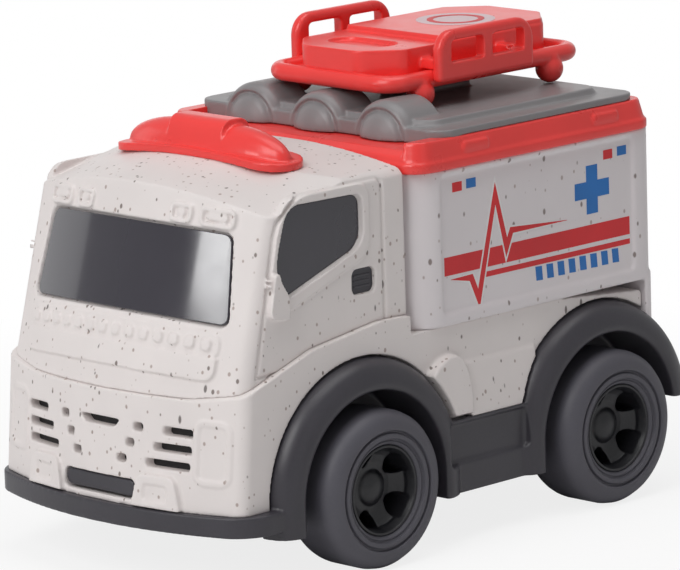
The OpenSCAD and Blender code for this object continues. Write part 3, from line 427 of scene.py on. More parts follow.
def close(mesh: Mesh) -> Mesh:
    """Fills a mesh's open ends.

    Args:
        mesh: Mesh to change.

    Returns:
        The same mesh, now closed.
    """
    bmesh.ops.holes_fill(mesh, edges=open_edges(mesh), sides=0)
    bmesh.ops.recalc_face_normals(mesh, faces=mesh.faces)
    return mesh


def gather(parts: list[Mesh]) -> Mesh:
    """Puts meshes in millimetres together as one in metres, without joining their faces.

    Args:
        parts: Meshes, which are used up.

    Returns:
        One mesh.
    """
    whole = bmesh.new()
    for part in parts:
        store = bpy.data.meshes.new("part")
        part.to_mesh(store)
        part.free()
        whole.from_mesh(store)
        bpy.data.meshes.remove(store)
    bmesh.ops.scale(whole, vec=(MM, MM, MM), verts=whole.verts)
    return whole


def to_object(name: str, parts: list[Mesh]) -> bpy.types.Object:
    """Makes an object in metres from meshes in millimetres.

    Args:
        name: Name of the object.
        parts: Meshes, which are used up.

    Returns:
        The object, linked to the scene.
    """
    whole = gather(parts)
    data = bpy.data.meshes.new(name)
    whole.to_mesh(data)
    whole.free()
    obj = bpy.data.objects.new(name, data)
    bpy.context.scene.collection.objects.link(obj)
    return obj


def bake(obj: bpy.types.Object) -> None:
    """Turns an object's modifiers into its mesh.

    Args:
        obj: Object to change.
    """
    graph = bpy.context.evaluated_depsgraph_get()
    graph.update()
    made = bpy.data.meshes.new_from_object(obj.evaluated_get(graph))
    old = obj.data
    obj.modifiers.clear()
    obj.data = made
    bpy.data.meshes.remove(old)


def carve(obj: bpy.types.Object, parts: list[Mesh], how: Cut = Cut.REMOVE) -> None:
    """Cuts an object with solids.

    Args:
        obj: Object to cut.
        parts: Cutting meshes in millimetres, which are used up.
        how: Whether the solids are taken away or kept.
    """
    tool = to_object("tool", parts)
    modifier = obj.modifiers.new("cut", "BOOLEAN")
    modifier.operation = how.value
    modifier.solver = "EXACT"
    modifier.use_self = True
    modifier.object = tool
    bake(obj)
    data = tool.data
    bpy.data.objects.remove(tool)
    bpy.data.meshes.remove(data)


def add(obj: bpy.types.Object, parts: list[Mesh]) -> None:
    """Lays more solids over an object, to be melted into one moulding later.

    Args:
        obj: Object to grow.
        parts: Meshes in millimetres, which are used up.
    """
    extra = gather(parts)
    extra.from_mesh(obj.data)
    extra.to_mesh(obj.data)
    extra.free()


def mould(obj: bpy.types.Object, grain: float, rounds: int = 5, most: int = 170000) -> bpy.types.Object:
    """Melts an object's solids into one skin with soft edges, as a moulding has.

    Args:
        obj: Object to change.
        grain: Size of the skin's cells in millimetres.
        rounds: Passes of smoothing.
        most: Triangles that the skin may have.

    Returns:
        The same object.
    """
    melt = obj.modifiers.new("melt", "REMESH")
    melt.mode = "VOXEL"
    melt.voxel_size = grain * MM * 1
    melt.use_smooth_shade = True
    ease = obj.modifiers.new("ease", "SMOOTH")
    ease.factor = 0.5
    ease.iterations = rounds
    bake(obj)
    triangles = sum(len(p.vertices) - 2 for p in obj.data.polygons)
    if triangles > most:
        thin = obj.modifiers.new("thin", "DECIMATE")
        thin.ratio = most / triangles
        bake(obj)
    obj.data.shade_smooth()
    return obj


def soften(obj: bpy.types.Object, width: float, steps: int = 3) -> bpy.types.Object:
    """Rounds an object's edges and smooths its shading.

    Args:
        obj: Object to change.
        width: Size of the rounding in millimetres.
        steps: Segments of the rounding.

    Returns:
        The same object.
    """
    obj.data.shade_smooth()
    edge = obj.modifiers.new("edge", "BEVEL")
    edge.width = width * MM
    edge.segments = steps
    edge.limit_method = "ANGLE"
    edge.angle_limit = math.radians(35)
    edge.harden_normals = True
    bake(obj)
    return obj


class Nodes:
    """Small builder for the node tree of a material or a world."""

    def __init__(self, owner: bpy.types.Material | bpy.types.World) -> None:
        """Starts with an empty tree.

        Args:
            owner: Material or world that the tree belongs to.
        """
        owner.use_nodes = True
        self.tree = owner.node_tree
        self.tree.nodes.clear()

    def add(self, kind: str, inputs: dict[str | int, object] | None = None,
            **settings: object) -> bpy.types.Node:
        """Adds a node, sets its options and feeds its sockets.

        Args:
            kind: Blender's name of the node's type.
            inputs: Values or output sockets for the node's inputs.
            **settings: Options of the node.

        Returns:
            The node.
        """
        node = self.tree.nodes.new(kind)
        for key, value in settings.items():
            setattr(node, key, value)
        for key, value in (inputs or {}).items():
            if isinstance(value, Socket):
                self.tree.links.new(value, node.inputs[key])
            else:
                node.inputs[key].default_value = value
        return node

    def sums(self, operation: str, first: object, second: object) -> Socket:
        """Adds a Math node.

        Args:
            operation: Its operation.
            first: First value or socket.
            second: Second value or socket.

        Returns:
            Its output.
        """
        return self.add("ShaderNodeMath", {0: first, 1: second}, operation=operation).outputs[0]

    def spread(self, value: Socket, low: float, high: float, to_low: float,
               to_high: float) -> Socket:
        """Maps a range to another one.

        Args:
            value: Socket to map.
            low: Start of its range.
            high: End of its range.
            to_low: Result at the start.
            to_high: Result at the end.

        Returns:
            The mapped output.
        """
        return self.add("ShaderNodeMapRange", {"Value": value, "From Min": low, "From Max": high,
                                               "To Min": to_low, "To Max": to_high}).outputs["Result"]

    def noise(self, place: Socket, scale: float, detail: float = 3.0) -> Socket:
        """Adds a noise pattern.

        Args:
            place: Coordinates.
            scale: Its waves in each metre.
            detail: Octaves.

        Returns:
            Its factor output.
        """
        inputs = {"Vector": place, "Scale": scale, "Detail": detail}
        return self.add("ShaderNodeTexNoise", inputs).outputs["Fac"]

    def blend(self, factor: object, first: object, second: object) -> Socket:
        """Mixes two colours.

        Args:
            factor: Share of the second.
            first: First colour or socket.
            second: Second colour or socket.

        Returns:
            The mixed colour.
        """
        return self.add("ShaderNodeMix", {0: factor, 6: first, 7: second}, data_type="RGBA").outputs[2]


def opaque(colour: Colour) -> tuple[float, float, float, float]:
    """Adds full alpha to a colour.

    Args:
        colour: Linear colour.

    Returns:
        The colour with alpha.
    """
    return (*colour, 1.0)


@dataclass(frozen=True)
class Specks:
    """One layer of straw specks in a moulded plastic.

    Attributes:
        colour: Linear colour of the specks.
        cell: Size of the cells that hold at most one speck each, in millimetres.
        share: Share of the cells with a speck.
        size: Radius of the largest speck, as a share of the cell.
        stretch: Length of a speck over its width.
        turn: Direction of the specks, as angles in degrees.
    """

    colour: Colour
    cell: float
    share: float
    size: float
    stretch: float
    turn: tuple[float, float, float]

    def mask(self, nodes: Nodes, place: Socket) -> Socket:
        """Builds the pattern.

        Args:
            nodes: Builder of the material.
            place: Object coordinates.

        Returns:
            A socket that is 1 on a speck.
        """
        scale = 1 / (self.cell * MM)
        turned_place = nodes.add("ShaderNodeMapping", {
            "Vector": place, "Rotation": tuple(math.radians(a) for a in self.turn),
            "Scale": (scale, scale, scale / self.stretch)}).outputs[0]
        cells = nodes.add("ShaderNodeTexVoronoi", {"Vector": turned_place, "Scale": 1.0, "Randomness": 1.0})
        chance = nodes.add("ShaderNodeSeparateColor", {"Color": cells.outputs["Color"]}).outputs[0]
        reach = nodes.spread(chance, 1 - self.share, 1.0, 0.0, self.size)
        edge = nodes.sums("SUBTRACT", reach, cells.outputs["Distance"])
        return nodes.spread(edge, 0.0, 0.35 * self.size, 0.0, 1.0)


@dataclass(frozen=True)
class Finish(ABC):
    """What every finish has.

    Attributes:
        name: Name of the finish.
        colour: Linear colour.
    """

    name: str
    colour: Colour

    @abstractmethod
    def shader(self, nodes: Nodes, place: Socket) -> Socket:
        """Builds the surface.

        Args:
            nodes: Builder of the material.
            place: Object coordinates.

        Returns:
            The shader's output.
        """

    def material(self) -> bpy.types.Material:
        """Builds the material, or gives the one that was built before.

        Returns:
            The material.
        """
        name = f"{self.name}_finish"
        known = bpy.data.materials.get(name)
        if known:
            return known
        material = bpy.data.materials.new(name)
        nodes = Nodes(material)
        surface = self.shader(nodes, nodes.add("ShaderNodeTexCoord").outputs["Object"])
        nodes.add("ShaderNodeOutputMaterial", {0: surface})
        return material


@dataclass(frozen=True)
class Plastic(Finish):
    """A moulded plastic with mottling, fine grain and, in some mouldings, straw specks.

    Attributes:
        roughness: Middle roughness.
        mottle: Strength of the slow colour changes.
        grain: Strength of the fine surface bump.
        coat: Weight of the glossy coat.
        specks: Layers of specks.
        scuff: Colour that worn patches drift to.
        slow_waves: Slow colour changes in each metre.
        rough_waves: Changes of the roughness in each metre.
        fine_waves: Grains in each metre.
        uneven: Largest change of the roughness.
        grain_depth: Depth of the grain in metres.
        speck_cover: How much of the plastic's colour a speck hides.
        speck_dip: Depth of a speck as a share of the grain's.
    """

    roughness: float = 0.42
    mottle: float = 0.08
    grain: float = 0.04
    coat: float = 0.0
    specks: tuple[Specks, ...] = ()
    scuff: Colour | None = None
    slow_waves: float = 55.0
    rough_waves: float = 240.0
    fine_waves: float = 1500.0
    uneven: float = 0.06
    grain_depth: float = 0.0002
    speck_cover: float = 0.85
    speck_dip: float = 0.4

    def shader(self, nodes: Nodes, place: Socket) -> Socket:
        """Builds the surface.

        Args:
            nodes: Builder of the material.
            place: Object coordinates.

        Returns:
            The shader's output.
        """
        slow = nodes.noise(place, self.slow_waves)
        height = fine = nodes.noise(place, self.fine_waves, 4.0)
        dark = tuple(c * (1 - self.mottle) for c in self.colour)
        light = tuple(min(1.0, c * (1 + self.mottle)) for c in self.colour)
        colour = nodes.blend(nodes.spread(slow, 0.3, 0.7, 0.0, 1.0), opaque(dark), opaque(light))
        colour = nodes.blend(nodes.spread(fine, 0.35, 0.75, 0.0, 0.12), colour, opaque(self.scuff or dark))
        for layer in self.specks:
            mask = layer.mask(nodes, place)
            colour = nodes.blend(nodes.sums("MULTIPLY", mask, self.speck_cover), colour, opaque(layer.colour))
            height = nodes.sums("SUBTRACT", height, nodes.sums("MULTIPLY", mask, self.speck_dip))
        wave = nodes.noise(place, self.rough_waves, 2.0)
        rough = nodes.spread(nodes.sums("ADD", slow, nodes.sums("MULTIPLY", wave, 0.6)), 0.4, 1.2,
                             self.roughness - self.uneven, self.roughness + self.uneven)
        bump = nodes.add("ShaderNodeBump", {
            "Strength": self.grain, "Distance": self.grain_depth, "Height": height})
        return nodes.add("ShaderNodeBsdfPrincipled", {
            "Base Color": colour, "Roughness": rough, "Normal": bump.outputs[0], "Coat Weight": self.coat,
            "Coat Roughness": 0.07, "Specular IOR Level": 0.5}).outputs[0]


@dataclass(frozen=True)
class TurnedSteel(Finish):
    """Plain turned steel with fine rings and a little oil stain.

    Attributes:
        ring_waves: Rings in each metre, before they are drawn out.
        stain_waves: Stains in each metre.
        stain: How dark a stain is.
    """

    ring_waves: float = 300.0
    stain_waves: float = 160.0
    stain: float = 0.7

    def shader(self, nodes: Nodes, place: Socket) -> Socket:
        """Builds the surface.

        Args:
            nodes: Builder of the material.
            place: Object coordinates.

        Returns:
            The shader's output.
        """
        stretched = nodes.add("ShaderNodeMapping", {"Vector": place, "Scale": (1.0, 40.0, 1.0)}).outputs[0]
        rings = nodes.noise(stretched, self.ring_waves, 4.0)
        stains = nodes.noise(place, self.stain_waves)
        dull = tuple(c * self.stain for c in self.colour)
        colour = nodes.blend(nodes.spread(stains, 0.4, 0.7, 0.0, 1.0), opaque(self.colour), opaque(dull))
        rough = nodes.spread(rings, 0.3, 0.7, 0.24, 0.42)
        bump = nodes.add("ShaderNodeBump", {"Strength": 0.08, "Distance": 0.0001, "Height": rings})
        return nodes.add("ShaderNodeBsdfPrincipled", {
            "Base Color": colour, "Roughness": rough, "Metallic": 1.0, "Normal": bump.outputs[0]}).outputs[0]


STRAW = (
    Specks((0.12, 0.08, 0.065), 1.9, 0.55, 0.25, 1.5, (25, 40, 10)),
    Specks((0.08, 0.055, 0.05), 2.6, 0.50, 0.19, 2.4, (70, 15, 55)),
    Specks((0.38, 0.29, 0.26), 1.5, 0.55, 0.31, 1.3, (10, 75, 35)),
)
FEW_STRAW = (
    Specks((0.16, 0.11, 0.095), 2.3, 0.50, 0.25, 1.6, (25, 40, 10)),
    Specks((0.40, 0.31, 0.29), 1.8, 0.55, 0.28, 1.4, (10, 75, 35)),
)
WHITE = Plastic("speckled_white", (0.79, 0.735, 0.72), roughness=0.44, mottle=0.03, grain=0.05, specks=STRAW)
BOX_WHITE = Plastic("box_white", (0.76, 0.71, 0.725), roughness=0.34, mottle=0.02, coat=0.25,
                    specks=FEW_STRAW)
RED = Plastic("red_plastic", (0.90, 0.050, 0.045), roughness=0.30, mottle=0.05, grain=0.03, coat=0.15)
ROOF_GREY = Plastic("roof_grey", (0.235, 0.225, 0.23), roughness=0.36, mottle=0.05)
DARK = Plastic("dark_plastic", (0.040, 0.037, 0.046), roughness=0.36, mottle=0.10, grain=0.05,
               scuff=(0.070, 0.066, 0.080))
TYRE = Plastic("tyre_plastic", (0.080, 0.077, 0.094), roughness=0.52, mottle=0.12, grain=0.08,
               scuff=(0.12, 0.115, 0.13))
# Hub plastic: the real hub is about the tyre's colour and glossier; its much darker value is painted shade of
# the recessed hub.
SHADED_HUB = Plastic("hub_plastic", (0.012, 0.012, 0.015), roughness=0.38, mottle=0.10, grain=0.05,
              scuff=(0.05, 0.05, 0.055))
PANE = Plastic("window_plastic", (0.028, 0.025, 0.037), roughness=0.12, mottle=0.06, grain=0.006, coat=0.6)
STEEL = TurnedSteel("steel", (0.56, 0.56, 0.57))
IVORY = Plastic("ivory_plastic", (0.78, 0.74, 0.62), roughness=0.5, mottle=0.04, grain=0.06)
RED_INK = Plastic("red_ink", (0.68, 0.018, 0.024), roughness=0.45, mottle=0.10, grain=0.05)
BLUE_INK = Plastic("blue_ink", (0.012, 0.16, 0.50), roughness=0.45, mottle=0.10, grain=0.05)
WHITE_INK = Plastic("white_ink", (0.80, 0.79, 0.79), mottle=0.04, grain=0.05)
BADGE = Plastic("badge_ink", (0.70, 0.52, 0.55), roughness=0.4, mottle=0.05, grain=0.05)
# Near-black plastic laid on the floors of the grille's slots: painted shade of the deep slots.
SHADOW = Plastic("inner_shadow", (0.012, 0.011, 0.012), roughness=0.7, mottle=0.2, grain=0.1)


def place(obj: bpy.types.Object, body: Body, finish: Finish, slot: str, *nodes: str) -> bpy.types.Object:
    """Gives a piece its finish and fixes it to the frame.

    Args:
        obj: The piece.
        body: Body that it moves with.
        finish: Its finish.
        slot: Material slot of the record; not used.
        *nodes: CAD nodes that it stands for.

    Returns:
        The same piece.
    """
    obj.data.materials.clear()
    obj.data.materials.append(finish.material())
    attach(obj, body.value)
    if nodes:
        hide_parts(*nodes)
    LOG.info("%s: %d faces on %s", obj.name, len(obj.data.polygons), body.value)
    return obj


AXLES_X = (27.5, -47.5)
AXLE_Z = 17.5
SILL = ((11.9, 52.8), (21.9, 52.8), (41.9, 50.1), (58.5, 44.6), (65.9, 41.8))
CAB_ROOF = Bow(apex_x=0, base_z=88.2, lean=90, bow_r=200)


@dataclass
class Cab:
    """White cab with its windows, door lines, mirrors and moulded front.

    Attributes:
        half_w: Half of the cab's width.
        front: Bowed front, from the step upwards.
        forehead: Sloping strip above the front's crease.
        corner: Rounding of the front's upright corners.
        side: Outline of the side above the sill.
        screen_z: Lower and upper edge of the windscreen, up the slope.
        screen_half: Half width of the windscreen at these edges.
        pane_gap: Gap round the windscreen's pane.
        band_half: Half width of the raised bands under the windscreen.
        vents: Number of the raised vents.
        vent_pitch: Spacing of the vents.
        vent_half: Half width of a vent.
        vent_z: Lower and upper edge of a vent, up the slope.
        plaques: Distance from the middle and half width of each plaque above the windscreen.
        plaque_z: Lower and upper edge of a plaque, up the slope.
        plaque_rim: Distance of a plaque's inner bar from its ends.
        window: Corners of the side window.
        window_corner: Rounding of these corners.
        lip: Corners of the raised lip round the side window.
        mirror: Corners of the mirror.
        door: Corners of the door's line.
        handle: Corners of the handle's slot.
        rib_x: Rear and front end of the handle's ribs.
        rib_z: Heights of the handle's ribs.
    """

    half_w: float = 36.5
    front: Bow = Bow(apex_x=68.9, base_z=41.5, lean=15.4, bow_r=105)
    forehead: Bow = Bow(apex_x=56.9, base_z=85, lean=78, bow_r=110)
    corner: float = 2.4
    side: Outline = (*SILL, (80, 41.5), (80, 95), (11.9, 95))
    screen_z: Span = (17.5, 37.2)
    screen_half: Span = (30.3, 28.0)
    pane_gap: float = 0.25
    band_half: float = 29.5
    vents: int = 14
    vent_pitch: float = 4.1
    vent_half: float = 1.2
    vent_z: Span = (12.0, 14.5)
    plaques: tuple[Span, ...] = ((15.0, 3.0), (24.4, 4.4))
    plaque_z: Span = (37.9, 42.2)
    plaque_rim: float = 1.8
    window: Outline = ((25, 81.4), (25, 70.2), (47.7, 62.3), (50.9, 67.4), (50.6, 71.5), (47.4, 81.8))
    window_corner: Rounding = (2.4, 3.5, 0.6, 1.5, 2.0, 3.5)
    lip: Outline = ((22.4, 84.2), (22.4, 67.9), (49.5, 58.4), (52.8, 66.5), (52.4, 72.5), (48.6, 84.0))
    mirror: Outline = ((48.4, 57.8), (54.0, 58.6), (54.0, 67.8), (48.4, 68.6))
    door: Outline = ((18.1, 46), (18.1, 84.6), (49.8, 84.6), (58.2, 46))
    handle: Outline = rectangle((21.3, 28.1), (59.5, 65.0))
    rib_x: Span = (22.3, 27.1)
    rib_z: tuple[float, ...] = (60.8, 62.0, 63.2)

    def screen(self, gap: float) -> Outline:
        """Gives the windscreen's corners, across and up the slope.

        Args:
            gap: Distance inside the opening's edge.

        Returns:
            The corners in turn.
        """
        low, high = self.screen_half
        foot, top = self.screen_z
        return ((-low + gap, foot + gap), (low - gap, foot + gap),
                (high - gap, top - gap), (-high + gap, top - gap))

    def build(self) -> bpy.types.Object:
        """Makes the cab's block and melts its details into it.

        Returns:
            The cab.
        """
        obj = to_object("cab", [self.front.slab(self.half_w, depth=70, low=-10, high=60, corner=self.corner)])
        carve(obj, [prism(self.side, -40, 40, Axis.ACROSS)], Cut.KEEP)
        carve(obj, [CAB_ROOF.slab(self.half_w + 0.3, depth=60, low=-80, high=0, corner=2.5)], Cut.KEEP)
        carve(obj, [self.forehead.slab(42, depth=80, low=-40, high=60, corner=1.0)], Cut.KEEP)
        add(obj, self.front_relief() + self.side_relief())
        carve(obj, self.cutters())
        return place(mould(obj, grain=0.3, rounds=3), Body.TOY, WHITE, "speckled_white", "cab_shell")

    def front_relief(self) -> list[Mesh]:
        """Makes the raised details of the front.

        Returns:
            Closed meshes.
        """
        across = (-self.band_half, self.band_half)
        parts = [self.front.patch(rectangle(across, (10.2, 15.9)), -2, 0.45, corner=2.4),
                 self.front.patch(rectangle(across, (5.4, 10.6)), -2, 0.85, corner=(2.6, 2.6, 0.5, 0.5))]
        for i in range(self.vents):
            y = (i - (self.vents - 1) / 2) * self.vent_pitch
            vent = rectangle((y - self.vent_half, y + self.vent_half), self.vent_z)
            parts.append(self.front.patch(vent, -1, 1.1, corner=0.8))
        for side in (-1, 1):
            for y, half in self.plaques:
                outline = rectangle((side * y - half, side * y + half), self.plaque_z)
                parts.append(self.front.wrap(frame_band(outline, 0.9, -1, 0.85, Axis.ALONG, corner=1.4)))
                bar = (side * y - half + self.plaque_rim, side * y + half - self.plaque_rim)
                parts.append(self.front.patch(rectangle(bar, (39.4, 40.8)), -1, 0.75, corner=0.6))
        return parts

    def side_relief(self) -> list[Mesh]:
        """Makes the raised details of the sides.

        Returns:
            Closed meshes.
        """
        return (side_prisms(self.lip, 35.0, self.half_w + 0.45, corner=3.5, flare=(0.97, 0.965))
                + side_prisms(self.mirror, 33.0, 38.1, corner=(0.9, 1.4, 1.4, 3.4)))

    def cutters(self) -> list[Mesh]:
        """Makes the solids that are cut out of the block.

        Returns:
            Closed meshes.
        """
        w = self.half_w
        parts = [self.front.patch(self.screen(0), -1.5, 4.0, corner=2.2, flare=(1.055, 1.17))]
        parts += side_prisms(self.window, w - 1.2, w + 3, corner=self.window_corner, flare=(1.05, 1.07))
        parts += side_prisms(self.handle, w - 1.6, w + 2, corner=1.4, flare=(1.1, 1.1))
        parts += both_sides(lambda: frame_band(self.door, 0.9, w - 0.7, w + 2, Axis.ACROSS,
                                               corner=(0, 2.5, 9.0, 0)))
        return parts

    def panes(self) -> list[bpy.types.Object]:
        """Makes the windscreen, the side panes and the handles.

        Returns:
            The pieces.
        """
        w = self.half_w
        screen = to_object("windscreen_pane", [
            self.front.patch(self.screen(self.pane_gap), -2.6, -0.55, corner=2.0)])
        pieces = [place(soften(screen, 0.45), Body.TOY, PANE, "window_plastic", "windscreen")]
        panes = side_prisms(self.window, w - 2.4, w - 0.75, corner=self.window_corner)
        grips = side_prisms(self.handle, w - 2.4, w - 0.9, corner=1.4)
        ribs = [side_prisms(rectangle(self.rib_x, (z, z + 0.5)), w - 1.2, w - 0.7) for z in self.rib_z]
        for side, pane, grip, *bars in zip(Side, panes, grips, *ribs):
            word = side.value
            pieces.append(place(soften(to_object(f"{word}_pane", [pane]), 0.3), Body.TOY, PANE,
                                "window_plastic", f"{word}_side_window"))
            pieces.append(place(soften(to_object(f"{word}_handle", [grip, *bars]), 0.15), Body.TOY, DARK,
                                "window_plastic"))
        return pieces


@dataclass
class LowerBody:
    """White lower body with the grille, the lamp pods and the side mouldings.

    Attributes:
        half_w: Half of its width.
        front: Bowed front, from the bumper upwards.
        side: Outline of its side.
        pod_y: Distance of a lamp pod from the middle.
        pod: Corners of a pod, across from its middle and up the slope.
        lamp: Half width of a pod's lamp hollow, and its lower and upper edge.
        panel_y: Distance from the middle of the raised frame beside a pod.
        tank: Corners of the round side moulding.
        step: Corners of the side step, outwards from the side and upwards.
        step_x: Rear and front end of the step.
        slot_h: Height of a grille slot.
        slot_pitch: Spacing of the rows of slots.
        slot_top: Top of the highest row, up the slope.
        rows: Slots of each row on one side, as distances from the middle.
        notch_half: Half width of the middle slot at its top and foot.
        seat_r: Radius of a fender's seat.
        well_r: Radius of the space over a wheel.
    """

    half_w: float = 37.8
    front: Bow = Bow(apex_x=71.6, base_z=17.6, lean=5, bow_r=100)
    side: Outline = ((-62.6, 27.5), (-62.6, 45.3), (-60.4, 48.5), (11.9, 48.5), *SILL, (90, 41.5), (90, 17.6),
                     (27.5, 17.6), (27.5, 27.5))
    pod_y: float = 17.5
    pod: Outline = ((-7.1, 0.2), (7.1, 0.2), (5.2, 7.8), (-5.2, 7.8))
    lamp: Point = (3.2, 1.8, 5.6)
    panel_y: float = 30.6
    tank: Outline = ((9.9, 27.5), (-5.6, 27.5), (-5.6, 36.5), (-1.5, 42.6), (6.0, 42.6), (9.9, 36))
    step: Outline = ((-3, 27.5), (2.0, 27.5), (2.0, 29.5), (0.6, 39.6), (-3, 40.2))
    step_x: Span = (-26.5, -4.5)
    slot_h: float = 1.4
    slot_pitch: float = 3.65
    slot_top: float = 18.0
    rows: tuple[tuple[Span, ...], ...] = (
        ((10.3, 12.7), (18.4, 25.6)), ((8.2, 10.4), (16.0, 25.3)), ((5.7, 8.2), (14.0, 25.0)))
    notch_half: Span = (6.2, 4.2)
    seat_r: float = 28.8
    well_r: float = 23.8

    def build(self) -> bpy.types.Object:
        """Makes the block and melts its details into it.

        Returns:
            The lower body.
        """
        obj = to_object("lower_body_skin", [
            self.front.slab(self.half_w, depth=140, low=-10, high=40, corner=2.0)])
        carve(obj, [prism(self.side, -45, 45, Axis.ACROSS)], Cut.KEEP)
        add(obj, self.relief())
        carve(obj, self.cutters())
        return place(mould(obj, grain=0.32, rounds=3), Body.TOY, WHITE, "speckled_white", "lower_body")

    def relief(self) -> list[Mesh]:
        """Makes the lamp pods and the side mouldings.

        Returns:
            Closed meshes.
        """
        parts = []
        for side in (-1, 1):
            pod = [(side * self.pod_y + y, z) for y, z in self.pod]
            parts.append(self.front.patch(pod, -3, 1.3, corner=(0.5, 0.5, 2.0, 2.0), flare=(0.9, 0.94)))
            panel = rectangle((side * self.panel_y - 4.4, side * self.panel_y + 4.4), (6.6, 20.6))
            parts.append(self.front.wrap(frame_band(panel, 1.1, -1, 0.35, Axis.ALONG, corner=2.6)))
        step = [(self.half_w + out, z) for out, z in self.step]
        parts += side_prisms(self.tank, 34, self.half_w + 2.5, corner=(0, 0, 5, 5, 5, 5), flare=(0.86, 0.9))
        parts += both_sides(lambda: prism(step, *self.step_x, Axis.ALONG, corner=(0, 0, 0.5, 0.6, 0)))
        return parts

    def slots(self, low: float, high: float, grow: float, flare: Span) -> list[Mesh]:
        """Makes a solid in each slot of the grille.

        Args:
            low: Their start from the front's surface.
            high: Their end.
            grow: How much larger than the slot they are.
            flare: Scale of their outer ends.

        Returns:
            Closed meshes.
        """
        parts = []
        for side in (-1, 1):
            for row, spans in enumerate(self.rows):
                top = self.slot_top - row * self.slot_pitch
                rise = (top - self.slot_h - grow, top + grow)
                for ends in spans:
                    inner, outer = sorted(side * y for y in ends)
                    slot = rectangle((inner - grow, outer + grow), rise)
                    parts.append(self.front.patch(slot, low, high, corner=0.45, flare=flare))
        wide, narrow = self.notch_half
        foot, top = self.slot_top - self.slot_h - grow, self.slot_top + grow
        notch = [(-wide - grow, top), (wide + grow, top), (narrow + grow, foot), (-narrow - grow, foot)]
        parts.append(self.front.patch(notch, low, high, corner=0.3, flare=flare))
        return parts

    def cutters(self) -> list[Mesh]:
        """Makes the wheel arches, the slots and the inner space.

        Returns:
            Closed meshes.
        """
        parts = self.slots(-4.5, 2.0, 0.1, (1.04, 1.25))
        sign = rectangle((-11, 11), (1.4, 5.6))
        parts.append(self.front.patch(sign, -12, 2.0, corner=1.2, flare=(1.0, 1.05)))
        half, foot, top = self.lamp
        for side in (-1, 1):
            lamp = rectangle((side * self.pod_y - half, side * self.pod_y + half), (foot, top))
            parts.append(self.front.patch(lamp, 0.75, 3, corner=1.0))
        for x in AXLES_X:
            parts += both_sides(lambda: rod(x, AXLE_Z, 35.0, 60, self.seat_r, 96))
            parts += both_sides(lambda: rod(x, AXLE_Z, 25.7, 60, self.well_r, 96))
        parts.append(prism(rectangle((-59, 58), (-24.5, 24.5)), 0, 40, Axis.UP))
        return parts

    def backing(self) -> bpy.types.Object:
        """Makes near-black floors in the grille's slots, painted shade for the depth of the slots.

        Returns:
            The piece.
        """
        floors = to_object("grille_shadow", self.slots(-4.4, -2.6, 0.25, STRAIGHT))
        return place(soften(floors, 0.1), Body.TOY, SHADOW, "dark_plastic")


